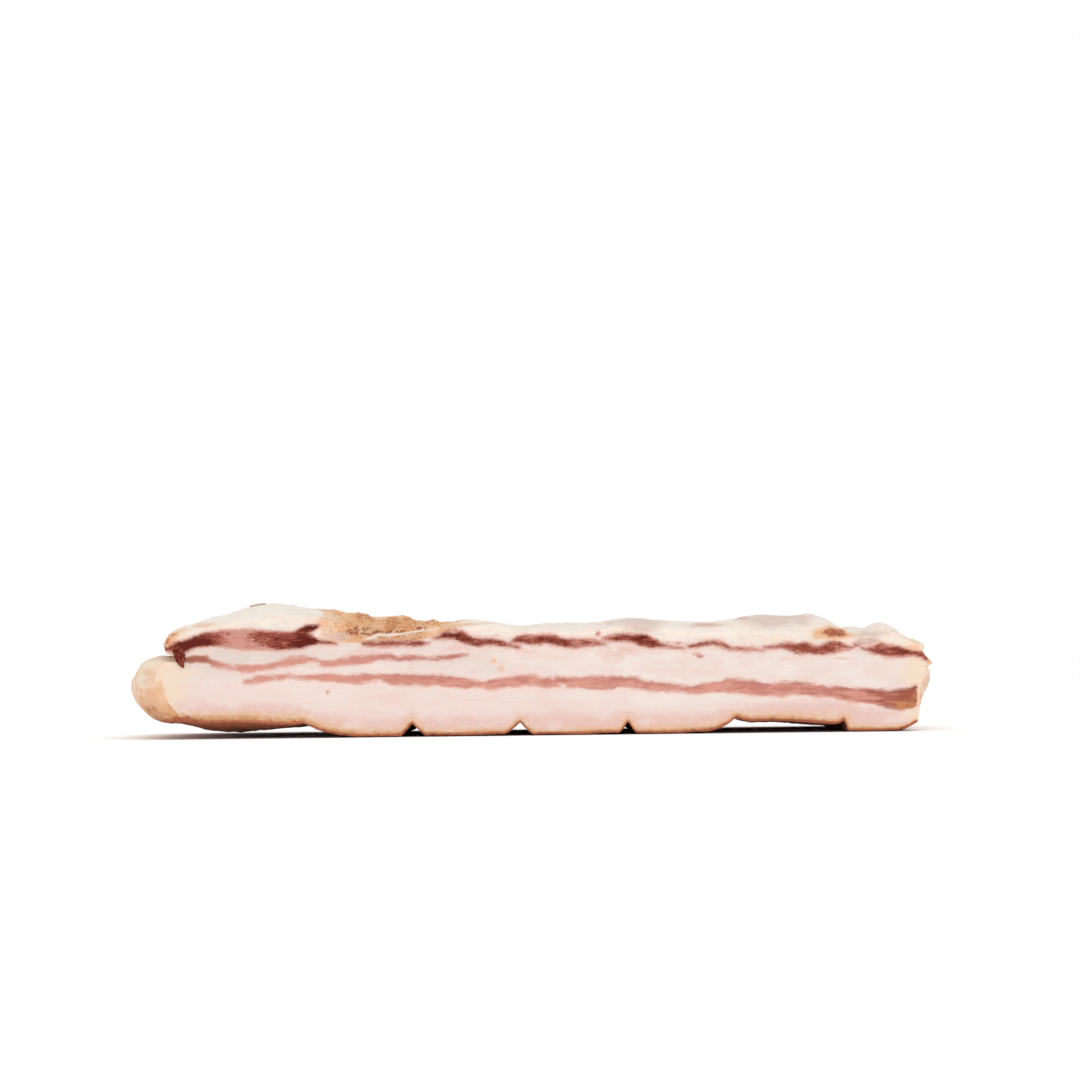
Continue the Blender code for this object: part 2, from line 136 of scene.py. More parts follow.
# Lean on the front cut: X, lower edge, upper edge
LONG_LEAN = (
    (-108, 20.6, 21.5), (-105, 20.4, 22.5), (-101, 20.8, 23.3), (-93, 21.7, 23.5), (-83, 21.7, 23.3),
    (-76, 20.8, 23.5), (-70, 19.9, 23.3), (-62, 20.3, 23.5), (-57, 20.9, 23.4), (-50, 18.9, 23.3),
    (-42, 18.8, 23.0), (-34, 18.4, 22.6), (-25, 17.9, 21.7), (-21, 17.8, 21.0), (-17.8, 17.8, 20.2),
    (-16, 16.8, 20.6), (-8, 18.0, 21.5), (0, 18.1, 22.2), (5, 17.8, 21.4), (8, 18.0, 21.2),
    (10.5, 18.0, 21.6), (17, 17.6, 21.1), (24, 16.6, 21.5), (30, 16.5, 21.7), (34, 17.4, 21.1),
    (38, 17.2, 21.2), (44, 16.0, 19.8), (52, 15.6, 18.4), (60, 14.8, 17.5), (64, 14.6, 18.4),
    (68, 14.9, 18.4), (74, 15.0, 19.9), (81, 14.2, 19.8), (89, 13.5, 18.1), (93, 13.2, 18.2),
    (100, 13.7, 18.5), (109, 13.1, 17.0), (115, 11.8, 16.7), (123, 10.7, 15.9), (132, 9.1, 15.6),
    (137, 8.0, 15.4), (141, 7.7, 15.9), (145, 9.0, 16.9),
)
THIN_LEAN = (
    (-130, 28.7, 30.2), (-127, 28.4, 30.9), (-123, 28.4, 30.8), (-119.5, 27.2, 29.9), (-117, 26.3, 28.9),
    (-113, 25.5, 27.9), (-106, 24.8, 27.1), (-98, 25.7, 28.1), (-91, 26.7, 30.0), (-85, 27.6, 30.4),
    (-81, 27.9, 30.1), (-78, 26.4, 29.2), (-75.6, 26.2, 29.1), (-71, 26.7, 29.5), (-66, 27.0, 30.0),
    (-58, 28.3, 30.8), (-52, 28.6, 30.9), (-49.5, 28.2, 29.9), (-45, 28.0, 30.4), (-39, 28.3, 29.7),
    (-36, 28.1, 29.6), (-31, 28.7, 30.2), (-26, 29.4, 30.4), (-23, 30.2, 30.6),
)
DARK_LEAN = (  # one lens a group, from left to right
    (
        (-140, 33.4, 36.2), (-136.5, 32.6, 37.0), (-133, 32.6, 36.6), (-130.5, 32.3, 36.8),
        (-127, 33.6, 38.2), (-123.5, 34.3, 39.4), (-119, 34.5, 39.7), (-114, 34.1, 40.4),
        (-108, 33.2, 40.4), (-102, 33.0, 40.4), (-95, 32.8, 39.8), (-90, 33.1, 39.7), (-85, 33.9, 39.6),
        (-82, 34.5, 38.0), (-80, 34.7, 36.7), (-77, 34.8, 36.4), (-74.5, 34.8, 35.8), (-73, 34.7, 35.0),
    ),
    (
        (-90, 38.5, 39.2), (-87, 38.6, 40.8), (-84, 38.8, 41.8), (-81, 40.0, 42.1), (-79, 41.7, 42.3),
    ),
    (
        (-63, 34.7, 35.1), (-60, 34.2, 35.4), (-57, 33.9, 35.5), (-53, 33.8, 36.1), (-47, 33.8, 35.7),
        (-43, 33.9, 35.7), (-40, 34.1, 35.2), (-38, 34.5, 34.8),
    ),
    (
        (-37, 36.2, 36.6), (-35, 36.3, 37.4), (-32, 36.2, 38.8), (-29, 36.2, 39.6), (-26.5, 35.2, 39.4),
        (-24, 34.1, 38.0), (-21, 33.5, 36.6), (-16, 33.7, 36.3), (-13, 33.5, 36.0), (-9, 33.0, 34.7),
        (-5, 32.4, 33.5), (-3.6, 32.5, 32.8),
    ),
    (
        (-7, 34.8, 35.2), (-4.6, 34.8, 36.6), (-2, 34.3, 37.2), (1.5, 33.7, 37.0), (6, 34.0, 37.8),
        (9, 33.3, 37.2), (12, 32.7, 36.2), (15.5, 32.4, 35.5), (20, 33.1, 35.6), (24, 33.4, 35.3),
        (27, 33.2, 34.3), (29, 33.3, 33.6),
    ),
    (
        (27, 35.7, 36.1), (29.5, 34.8, 36.7), (33, 34.5, 37.0), (37, 34.2, 37.3), (41, 33.1, 37.2),
        (44, 32.2, 36.7), (46, 31.8, 35.7), (48.3, 32.2, 34.2), (51, 32.0, 33.3), (55, 31.7, 32.4),
        (58, 31.4, 31.8),
    ),
    (
        (59, 32.0, 32.4), (62, 32.0, 33.2), (65, 32.4, 34.1), (69, 32.9, 34.4), (72, 32.0, 33.9),
        (75, 30.9, 32.3), (79, 30.5, 31.6), (84, 30.5, 31.3), (88, 30.4, 30.8),
    ),
    (
        (88, 31.5, 31.9), (91, 31.3, 32.3), (94.5, 31.2, 33.1), (97.5, 30.7, 33.2), (100.5, 29.4, 32.8),
        (103.5, 29.1, 33.0), (106.5, 29.2, 32.0), (108.5, 29.0, 31.8), (111, 29.0, 33.0),
        (113.5, 29.5, 33.6), (116, 30.1, 33.3), (118.5, 30.6, 32.4), (121.4, 30.9, 31.3),
    ),
    (
        (123, 31.8, 32.2), (125.4, 32.4, 33.1), (127.5, 32.7, 33.4), (130, 32.4, 33.0),
    ),
    (
        (121.6, 32.2, 32.8), (124.4, 30.9, 34.0), (127.5, 29.3, 33.9), (131, 28.5, 33.2),
        (134.5, 27.7, 32.3), (138, 27.6, 31.7), (141.5, 27.8, 30.5), (144.5, 28.1, 29.9),
        (147, 27.2, 29.4), (149, 25.9, 28.1), (151, 25.0, 26.8),
    ),
)
LEAN_TONES = (  # how the dark lean deepens and pales from left to right: X, change, half width
    (-139, -0.25, 4.0), (-125, 0.46, 7), (-109, -0.78, 9), (-96, -0.04, 5), (-83, 0.5, 5),
    (-49, -0.08, 8), (-27, 0.24, 6), (-15, -0.04, 5), (-3, -0.24, 3), (8, -0.14, 5), (13, 0.04, 4),
    (22, -0.3, 6), (34, -0.1, 6), (44, 0.14, 4), (53, -0.16, 5), (69, -0.14, 6), (82, -0.34, 6),
    (102, -0.04, 6), (117, -0.2, 5), (126, 0.1, 3), (134, -0.34, 8), (150, -0.1, 4),
)
LEAN_TONE, TONE_STRAY = 0.56, 4.0
LONG_LAYER, THIN_LAYER, DARK_LAYER = 1, 2, 3  # which pattern each layer strays by
LEAN_GAPS = (  # where fat runs through the pale lean: X, height, half width, half height, depth
    (8.4, 21.2, 0.8, 0.6, 1.0), (9.6, 20.2, 0.8, 0.6, 1.3), (10.8, 19.2, 0.9, 0.6, 1.3),
    (12.3, 18.2, 1.1, 0.6, 1.2), (-62.6, 20.9, 2.0, 0.5, 0.5), (-49.8, 29.6, 1.2, 0.5, 0.8),
    (-79.6, 28.0, 1.0, 0.6, 0.8), (-112.0, 26.6, 4.0, 0.35, 0.9), (-88.0, 28.8, 3.4, 0.4, 1.1),
    (73.0, 17.0, 6.0, 0.35, 0.8), (126.0, 13.6, 6.0, 0.35, 0.8), (-30.0, 20.4, 8.0, 0.3, 0.6),
)
LENS_COVER = 0.45  # least fat over a dark lens
LAYER_SWELL, SWELL_X, SWELL_Y = 0.9, 26.0, 21.0  # how a layer thickens and thins on its way through
LAYER_STRAY, STRAY_Y = 5.0, 45.0  # how far a layer's outline slides along on its way through
FAR_OUTSIDE, DEEP_INSIDE = 9.0, 30.0  # depths are kept within these reaches
FAR_FROM_LINE, TINY = 36.0, 1e-9

# Torn crust above the front cut, and the pale lip of fat that was pulled up along it
TORN_FACE = (-82.0, -27.0)
TORN_FLOOR = (  # X, lowest height of the crust on the cut
    (-83, 39.5), (-79, 36.6), (-73, 35.6), (-62, 35.3), (-50, 36.0), (-43, 35.8), (-37, 37.2),
    (-31, 39.4), (-27, 41.0),
)
TORN_FACE_REACH = 30.0
TORN_BACK, TORN_STRAY = 27.0, 4.0  # how far behind the cut it reaches, and how ragged its rim is
TORN_BACK_STRAY, TORN_RIGHT_OVER, TORN_FLOOR_BLUR = 1.6, 0.3, 0.8
RIM_SIZE, RIM_FINE_SIZE, RIM_FINE, RIM_RUN = 11.0, 3.5, 0.5, 6.0
PEACH_RUN = 11.0  # how far in from its left edge the crust is still pale

# How far the outlines of the front hold on their way in: they fade evenly at 1, and later above it
PORE_HOLD, FILM_HOLD, OUTLINE_HOLD = 3.0, 2.0, 1.6
LIP_HOLD, NO_LIP = 0.6, -3.0
LIP = (
    (-63, 36.3, 36.7), (-60, 36.5, 37.6), (-56, 37.0, 38.2), (-50, 37.8, 38.5), (-42, 38.8, 39.4),
    (-36, 39.6, 40.1), (-30, 40.1, 40.4),
)
PORES = (  # X, height, half width, half height, strength
    (-63.5, 40.2, 2.8, 1.3, 1.0), (-57.0, 38.8, 4.4, 1.0, 1.1), (-50.0, 39.6, 3.6, 0.8, 0.7),
    (-41.1, 40.3, 1.6, 0.9, 0.7), (-67.4, 39.4, 1.6, 0.8, 0.6), (-71.0, 37.4, 3.0, 2.0, 0.35),
)
DARK_LINE = (  # X, height of the line that the dark lean hangs on
    (-140, 35.0), (-120, 37.0), (-100, 36.8), (-78, 35.6), (-50, 35.0), (-28, 37.6), (-12, 34.4),
    (4, 35.8), (18, 34.0), (36, 35.6), (52, 32.6), (68, 33.2), (82, 31.2), (104, 31.0), (114, 31.4),
    (124, 31.4), (136, 29.8), (155, 26.0),
)

# Spots on the front: X, height, half width, half height, strength
DRIED_SPOTS = (
    (112.8, 37.3, 2.5, 2.1, 1.7), (116.2, 36.5, 2.6, 1.9, 1.5), (118.0, 38.1, 2.2, 0.9, 0.9),
    (121.8, 36.2, 3.6, 1.2, 0.7), (108.0, 36.5, 2.2, 2.0, 0.5), (-13.8, 27.7, 1.2, 1.1, 0.62),
    (-11.0, 24.9, 1.8, 1.7, 0.46), (146.4, 12.5, 1.4, 3.0, 0.5), (-122.5, 31.2, 6.0, 1.1, 0.24),
    (-124.0, 27.4, 4.0, 1.4, 0.2), (-134.6, 39.0, 1.9, 1.7, 1.25), (-136.6, 36.2, 1.3, 2.0, 1.1),
    (-124.0, 43.0, 8.0, 1.5, 0.5), (-77.6, 43.8, 3.6, 4.0, 0.42), (134.0, 37.2, 11.0, 3.2, 0.25),
    (151.0, 25.6, 1.8, 1.6, 0.85), (144.0, 31.5, 4.0, 2.0, 0.42), (-140.0, 17.0, 4.0, 3.4, 0.36),
    (-31.0, 40.8, 3.6, 0.7, 0.6), (-23.0, 41.8, 7.0, 0.7, 0.55), (-39.0, 37.6, 7.0, 0.9, 0.3),
)
SPOT_DEPTH = 13.0
RED_SPECKS = (
    (25.6, 37.7, 0.8, 1.2, 1.9), (55.2, 33.6, 2.3, 0.8, 1.0), (62.2, 29.7, 1.5, 0.8, 0.9),
    (63.8, 28.8, 1.4, 0.9, 1.6), (51.6, 33.9, 1.2, 0.6, 0.7), (-12.4, 37.2, 1.6, 0.9, 0.8),
    (-76.4, 16.8, 1.0, 1.1, 0.8), (-45.1, 25.8, 0.9, 1.6, 0.7), (12.6, 4.4, 0.9, 0.9, 0.6),
    (118.0, 27.2, 6.0, 0.7, 0.4), (34.0, 31.2, 9.0, 2.2, 0.46), (30.0, 27.6, 5.0, 3.0, 0.34),
    (-28.0, 33.0, 7.0, 1.8, 0.42), (-62.0, 31.8, 7.0, 1.6, 0.36), (-72.0, 37.6, 5.0, 1.6, 0.55),
    (-4.0, 31.0, 9.0, 1.2, 0.36), (98.0, 27.4, 9.0, 1.0, 0.34),
)
MEMBRANES = (
    (39.0, 41.8, 11.0, 1.6, 1.1), (43.0, 39.6, 6.0, 1.8, 1.1), (66.5, 40.4, 7.0, 0.8, 1.1),
    (89.5, 41.6, 9.0, 2.8, 1.25), (98.0, 42.8, 10.0, 1.8, 1.0), (103.4, 41.2, 2.4, 1.6, 0.8),
    (80.8, 42.6, 2.4, 0.9, 0.8), (128.7, 36.2, 4.6, 1.1, 1.0), (3.7, 41.5, 9.0, 0.7, 0.75),
    (-16.0, 42.0, 5.0, 0.7, 0.6),
)
ROSY_FILMS = (
    (66.5, 40.4, 8.0, 0.9, 1.0), (80.8, 42.6, 2.6, 1.0, 1.0), (3.7, 41.6, 10.0, 0.6, 1.0),
    (30.0, 41.8, 4.0, 0.7, 0.9),
)
FAR_FILM, FAR_FILM_SHARE, FILM_END_RUN = 0.44, 0.8, 6.0  # the film behind the front
FAR_FILMS = ((0.26, 23.0, 40.0, 4.1), (0.2, 8.0, 13.0, 8.3))  # share, size along X and Y, pattern
RIND_THIN = 0.6
RIND_SWELLS = ((-108, 1.5, 26), (92, 0.4, 24), (-66, 0.3, 12), (140, -0.3, 14))
NEAR_RIND, RIND_SEARCH, RIND_BLEND, RIND_BLEND_RUN = 14.0, 2.0, 1.5, 4.0
RIND_LINE = (
    (-140, 6.0), (-92, 5.0), (-78, 1.8), (-60, 0.2), (58, 0.2), (76, 3.0), (92, 4.0), (118, 3.6),
    (126, 1.2), (155, 1.2),
)
SKIN_ROWS, SKIN_FADE = 0.06, 10.0  # the left end's rind reaches up to this share of its height, and fades

# How the two ends have dried: the lower left end is tan and dotted, the fat is yellowed. The lower left end
# is also darker towards its foot
LEFT_TAN, LEFT_FOOT_DARK, LEFT_DOTS = 0.55, 0.85, 0.4
TAN_ROWS, FOOT_DARK_ROWS, DOT_ROWS = (0.46, 0.36), (0.22, 0.17), (0.44, 0.2)  # from which row, over how many
END_ROWS_STRAY, END_ROWS_SIZE, END_ROWS_TURNS, DOT_SIZE = 0.05, 9.0, 5.0, 2.6
LEFT_AGED, LEFT_AGED_CLIMB = (9.0, 17.0), (8.0, 18.0)  # how far in the fat is yellowed, low down and high up
RIGHT_AGED, RIGHT_AGED_CLIMB = 11.0, (-3.0, 9.0)

# Scraps: X, Y, height, half width, half thickness at each station
CLEFT_SHREDS = (
    (
        (-132.3, -67.2, 34.8, 1.9, 0.5), (-132.1, -69.6, 32.9, 2.0, 0.5), (-131.8, -70.3, 31.0, 2.1, 0.5),
        (-131.5, -70.4, 29.4, 1.7, 0.45), (-131.1, -70.5, 28.0, 1.3, 0.4),
        (-130.5, -70.4, 26.6, 0.8, 0.3),
    ),
    (
        (-134.0, -67.2, 34.8, 1.0, 0.4), (-133.7, -69.6, 33.0, 1.0, 0.4), (-133.3, -70.2, 31.6, 0.8, 0.4),
        (-132.7, -70.3, 30.0, 0.5, 0.3),
    ),
)
LIP_SHREDS = (
    ((-62.5, -69.8, 36.4, 0.3, 0.3), (-60.0, -70.1, 36.9, 0.6, 0.4), (-57.0, -70.0, 37.5, 0.4, 0.3)),
    ((-59.5, -69.9, 37.6, 0.3, 0.3), (-57.0, -70.3, 38.1, 0.5, 0.4), (-54.0, -70.1, 37.9, 0.4, 0.3)),
    ((-55.0, -69.9, 37.4, 0.3, 0.3), (-51.0, -70.2, 38.0, 0.5, 0.4), (-46.0, -70.0, 38.7, 0.3, 0.3)),
    ((-48.0, -69.9, 38.4, 0.3, 0.3), (-43.0, -70.2, 39.2, 0.4, 0.4), (-38.0, -70.0, 39.7, 0.3, 0.3)),
)
TOP_FLAKES = (  # on the crest: X, length, half width, half thickness, turn
    (-104.0, 6.4, 1.2, 0.3, 0.1),
    (143.2, 2.6, 0.7, 0.3, 0.2),
)
FLAKE_STATIONS, FLAKE_LIFT = (-1, -0.3, 0.4, 1), 0.7
CREST_REACH, CREST_VIEW = 50, 0.02  # how far in the crest is looked for, and how steeply it is seen
SCRAP_RINGS, SCRAP_SIDES, SCRAP_ROUGHNESS, SCRAP_KNOTS, SCRAP_PATTERN = 18, 10, 0.24, 6, 5.3
SCRAP_TAPER, SCRAP_LEAST, SCRAP_LOOK = (0.06, 0.94), 0.2, 0.02
FORWARD, UPWARD = (0.0, -1.0, 0.0), (0.0, 0.0, 1.0)  # which way a scrap's flat side looks
CRUMB_SHAPES, FULL_TURN = ((0.75, 0.75, 0.55), (1.4, 1.1, 0.9)), 6.283  # flattest and roundest crumb

# Marks of the knife on the front cut: their middle, how aslant they lie, and how they fade round it
KNIFE_MARKS, KNIFE_TURN, KNIFE_REACH = (125.5, -70.0, 29.6), -0.95, (7.0, 3.0)

# Net of the surface
COLUMN_PITCH, TORN_PITCH, FOLD_PITCH_FINE, FINE_ROUND_FOLD = 1.12, 0.8, 0.66, 3.6
ROW_COUNT = 56
EDGE_STEPS = 4
FRONT_STEP, FRONT_GROWTH, BACK_STEP, BACK_GROWTH, WIDEST_STEP = 0.8, 1.035, 1.0, 1.08, 3.0
FRONT_SHARE = 0.62  # of the depth that is filled from the front

# Sizes that the trees share with the settings of the same names
RELIEF_SIZES = (
    "Lean sunk", "Cut grain", "Crag height", "Pore depth", "Lip height", "Film wrinkle", "Rind wrinkle",
)
CRUMB_SIZES = ("Smallest", "Largest", "Spacing")

# How far red, green and blue light spread in the flesh next to each other, and how little it shines
SCATTER, SHINE = (2.4, 0.6, 0.34), 0.12

# Lights: place, target, and width and height, in metres
MAIN_LIGHT = ((0.05, -0.95, 0.9), (0.0, 0.0, 0.02), (1.0, 0.6))
FRONT_LIGHT = ((0.0, -1.9, 0.2), (0.0, 0.0, 0.01), (1.6, 0.3))
STAGE_LIGHT = 1.26  # how bright the light on the stage is next to plain white

Finish = namedtuple("Finish", "colour roughness height")


def clamp(t):
    return min(1.0, max(0.0, t))


def mix(a, b, t):
    return a + (b - a) * t


def ease(t):
    """0 to 1 with a soft start and a soft stop."""
    t = clamp(t)
    return t * t * (3 - 2 * t)


def rise(t):
    """0 to 1 with a quick start and a soft stop, as a soft edge rolls over."""
    return 1 - (1 - clamp(t)) ** ROLL_POWER


def bump(x, centre, half_width):
    return math.exp(-(((x - centre) / half_width) ** 2))


def bumps(x, table):
    return sum(height * bump(x, centre, half_width) for centre, height, half_width in table)


def unrest(a, b, pattern=0.0):
    """A smooth uneven value between about -1 and 1. Each use has a pattern of its own."""
    return noise.noise(Vector((a, b, pattern))) * NOISE_REACH


def from_cut(y):
    return DEPTH / 2 - abs(y)


def behind_front(y):
    return y + DEPTH / 2


def torn_here(x, y):
    """1 inside the torn patch, 0 outside it, with a soft margin."""
    first, last, near, far = TORN
    inside = min(x - first, last - x, from_cut(y) - near, far - from_cut(y))
    return ease(inside / TORN_MARGIN) if y < 0 else 0.0


def top_height(x, y):
    behind = behind_front(y)
    along = x + RIB_SLANT * behind
    stray = unrest(x / HUMP_WANDER_X, y / HUMP_WANDER_Y, 5.5)
    along += HUMP_WANDER * stray * ease(behind / BACK_FALL_START)
    crest = CREST_HEIGHT + CREST_SLOPE * x + bumps(along, HUMPS)
    crest -= BACK_FALL * ease((behind - BACK_FALL_START) / (DEPTH - BACK_FALL_START))
    drop = EDGE_DROP + mix(bumps(x, FRONT_DROPS), bumps(x, BACK_DROPS), ease(behind / DEPTH))
    inner = rise(from_cut(y) / ROLL_OVER)
    height = crest - drop * (1 - inner)
    bed_share = ease((from_cut(y) - RIB_BED_START) / RIB_BED_RUN)
    for rib in RIB_BEDS:
        place = rib - RIB_BED_WANDER * unrest(rib, y / RIB_BED_WANDER_Y, 2.2)
        height -= RIB_BED_DEPTH * bump(along, place, RIB_BED_WIDTH) * bed_share
    height -= RIGHT_TOP_FALL * (1 - clamp((RIGHT_END - x) / RIGHT_TOP_RUN)) ** RIGHT_TOP_POWER
    height -= LEFT_TOP_FALL * (1 - clamp((x - LEFT_END) / LEFT_TOP_RUN)) ** LEFT_TOP_POWER
    height += CRAG_HEIGHT * unrest(x / CRAG_SIZE, y / CRAG_SIZE, 8.8) * torn_here(x, y)
    return height + TOP_UNREST * (unrest(x / TOP_UNREST_X, y / TOP_UNREST_Y, 3.1) - 0.5) * inner


def fold_place(i, y):
    own = 3.7 * i
    astray = unrest(own, y / FOLD_WANDER_Y) - unrest(own, -DEPTH / 2 / FOLD_WANDER_Y)
    return FOLD_FIRST + FOLD_PITCH * i + FOLD_WANDER * astray


def fold_places(y):
    return [fold_place(i, y) for i in range(len(FOLDS))]


def follow_folds(x, y):
    """x moved along with the fold that it is near, so that the net's columns stay on the folds."""
    moved = x
    for i, place in enumerate(fold_places(y)):
        nominal = FOLD_FIRST + FOLD_PITCH * i
        moved += (place - nominal) * bump(x, nominal, FOLD_GRIP)
    return moved


def underside_height(x, y):
    places = fold_places(y)
    panel = PANELS[sum(x > place for place in places)]
    height = panel
    for place, (apex, left, right) in zip(places, FOLDS):
        width = left if x < place else right
        power = mix(FLANK_POWER, LONG_FLANK_POWER, ease((width - SHORT_FLANK) / (LONG_FLANK - SHORT_FLANK)))
        near = 1 - clamp(abs(x - place) / width)
        height = max(height, mix(panel, apex, near**power))
    belly = bump(x, *LEFT_BELLY) * rise((from_cut(y) - LEFT_BELLY_START) / LEFT_BELLY_RUN)
    height -= PANELS[0] * BELLY_SAG * belly
    height += LEFT_LIFT * ease((LEFT_LIFT_FROM - x) / (LEFT_LIFT_FROM - LEFT_END))
    height -= RIGHT_SINK * ease((x - RIGHT_SINK_FROM) / RIGHT_SINK_RUN) * (x < places[-1])
    height += RIGHT_HEEL * clamp((x - RIGHT_END + RIGHT_HEEL_RUN) / RIGHT_HEEL_RUN) ** 2
    height += UNDER_UNREST * (unrest(x / UNDER_UNREST_X, y / UNDER_UNREST_Y, 7.7) - 0.2)
    return max(0.0, height)


def end_unrest(row, y, pattern):
    return END_UNREST * unrest(row * END_UNREST_ROWS, y / END_UNREST_Y, pattern) * math.sin(math.pi * row)


def left_end(row, y):
    """How far out the left end stands at this row, and its share of the height there."""
    inner = rise(from_cut(y) / BULGE_RUN)
    if row < BULGE_ROWS:
        turn = math.pi * row / BULGE_ROWS
        out = mix(BULGE_AT_CUT, BULGE_BEHIND, inner) * max(0.0, math.sin(turn)) ** BULGE_SQUARENESS
        share = BULGE_TOP * (1 - math.cos(turn)) / 2
    else:
        t = (row - BULGE_ROWS) / (1 - BULGE_ROWS)
        out = mix(FLAP_AT_CUT, FLAP_BEHIND, inner) * math.sin(math.pi * t)
        share = mix(BULGE_TOP, 1, t)
    cleft = bump(row, CLEFT_ROW, CLEFT_SPREAD)
    out += end_unrest(row, y, 1.3) * inner - LEFT_TRIM * bump(row, LEFT_TRIM_ROW, LEFT_TRIM_SPREAD)
    depth = CLEFT_DEPTH * (1 - CLEFT_UNEVEN * inner * (0.5 + unrest(y / CLEFT_UNEVEN_Y, 6.2)))
    return out - depth * cleft, share - CLEFT_SAG * cleft


def right_end(row, y):
    """How far out the right end stands at this row, and its share of the height there."""
    inner = rise(from_cut(y) / MIDDLE_RUN)
    out = SIDE_OUT * (1 - abs(2 * row - 1) ** 6)
    out += SHOULDER_OUT * ease((row - SHOULDER_ROW) / (1 - SHOULDER_ROW))
    out += UNDER_TIP_OUT * bump(row, UNDER_TIP_ROW, UNDER_TIP_SPREAD)
    out += MIDDLE_OUT * inner * bump(row, MIDDLE_ROW, MIDDLE_SPREAD)
    tip = bump(row, TIP_ROW, TIP_SPREAD)
    out += TIP_OUT * tip * (1 + TIP_UNEVEN * unrest(y / TIP_UNEVEN_Y, 4.4))
    out += end_unrest(row, y, 9.1) * inner
    return out, row - TIP_SAG * tip


def drift(x, y, layer):
    behind = behind_front(y)
    return LAYER_DRIFT * unrest(x / DRIFT_X, behind / DRIFT_Y, 5.3 * layer) * ease(behind / DRIFT_START)


def curve_between(before, a, b, after, t):
    """A smooth curve from a to b that also heads for its neighbours."""
    first = (b - before) / 2
    last = (after - a) / 2
    t2, t3 = t * t, t * t * t
    return (2 * t3 - 3 * t2 + 1) * a + (t3 - 2 * t2 + t) * first + (3 * t2 - 2 * t3) * b + (t3 - t2) * last


def station_before(line, x):
    """Number of the station behind x, in a line or a band of stations."""
    return next((i for i in range(len(line) - 2) if x <= line[i + 1][0]), len(line) - 2)


def curve_along(stations, i, t):
    """The numbers of a row of stations, smoothly curved, at share t of the way on from station i."""
    around = (stations[max(i - 1, 0)], stations[i], stations[i + 1], stations[min(i + 2, len(stations) - 1)])
    return [curve_between(*values, t) for values in zip(*around)]


def band_edges(band, x):
    """Lower and upper edge of a band at x, which lies within its stations."""
    i = station_before(band, x)
    return curve_along(band, i, (x - band[i][0]) / (band[i + 1][0] - band[i][0]))[1:]


def band_depth(band, x, z):
    """How deep a point lies inside a band; below zero outside it."""
    along = min(max(x, band[0][0]), band[-1][0])
    beyond = abs(x - along)
    if beyond > FAR_OUTSIDE:
        return -FAR_OUTSIDE
    low, high = band_edges(band, along)
    inside = min(z - low, high - z)
    if beyond:
        inside = -math.hypot(beyond, min(inside, 0.0))
    return max(inside, -FAR_OUTSIDE)


def lean_depth(bands, layer, x, y, z):
    """How deep a point lies in the nearest of these bands, at any depth behind the front cut."""
    behind = behind_front(y)
    through = ease(behind / DRIFT_START)
    along = x + LAYER_STRAY * unrest(behind / STRAY_Y, 2.9 * layer) * through
    height = z - drift(x, y, layer)
    swell = LAYER_SWELL * unrest(x / SWELL_X, behind / SWELL_Y, 7.1 * layer) * through
    return max(band_depth(band, along, height) for band in bands) + swell


def long_middle(x):
    low, high = band_edges(LONG_LEAN, min(max(x, LONG_LEAN[0][0]), LONG_LEAN[-1][0]))
    return (low + high) / 2


def spots(x, z, table):
    return sum(bump(x, a, half_x) * bump(z, b, half_z) * s for a, b, half_x, half_z, s in table)


def column_places():
    """X of the net's columns: closer together at the folds and along the torn crust."""
    folds = [FOLD_FIRST + FOLD_PITCH * i for i in range(len(FOLDS))]
    places = [LEFT_END]
    while places[-1] < RIGHT_END:
        x = places[-1]
        pitch = TORN_PITCH if TORN_FACE[0] < x < TORN_FACE[1] else COLUMN_PITCH
        if min(abs(x - fold) for fold in folds) < FINE_ROUND_FOLD:
            pitch = FOLD_PITCH_FINE
        places.append(x + pitch)
    stretch = (RIGHT_END - LEFT_END) / (places[-1] - LEFT_END)
    return [LEFT_END + (x - LEFT_END) * stretch for x in places]


def steps_inward(reach, first, growth, radius):
    """Distances from a cut: along its round edge, and then in growing steps."""
    turns = [math.pi / 2 * i / EDGE_STEPS for i in range(EDGE_STEPS + 1)]
    places = [radius * (1 - math.cos(turn)) for turn in turns]
    step = first
    while places[-1] < reach:
        places.append(places[-1] + step)
        step = min(step * growth, WIDEST_STEP)
    return places


def depth_places(radius):
    """Y of the net's rings, from the front cut to the back cut."""
    meet = DEPTH * FRONT_SHARE
    front = [d for d in steps_inward(meet, FRONT_STEP, FRONT_GROWTH, radius) if d < meet]
    back = [d for d in steps_inward(DEPTH - meet, BACK_STEP, BACK_GROWTH, radius) if DEPTH - d > meet + 1]
    return [d - DEPTH / 2 for d in front] + [DEPTH / 2 - d for d in reversed(back)]


def edge_inset(behind, radius):
    """How far the section is drawn in at this distance from a cut, so that the cut's edge is round."""
    near = clamp(1 - behind / radius)
    return radius * (1 - math.sqrt(1 - near * near))


def along_line(line, x):
    """Height of a line of stations at x."""
    i = station_before(line, x)
    (x0, z0), (x1, z1) = line[i], line[i + 1]
    return mix(z0, z1, ease((x - x0) / (x1 - x0)))


def distance_to_line(x, z, line):
    """Shortest distance from a point to a line of points."""
    nearest = FAR_FROM_LINE
    for (x0, z0), (x1, z1) in zip(line, line[1:]):
        run, climb = x1 - x0, z1 - z0
        t = clamp(((x - x0) * run + (z - z0) * climb) / max(run * run + climb * climb, TINY))
        nearest = min(nearest, math.hypot(x - x0 - run * t, z - z0 - climb * t))
    return nearest


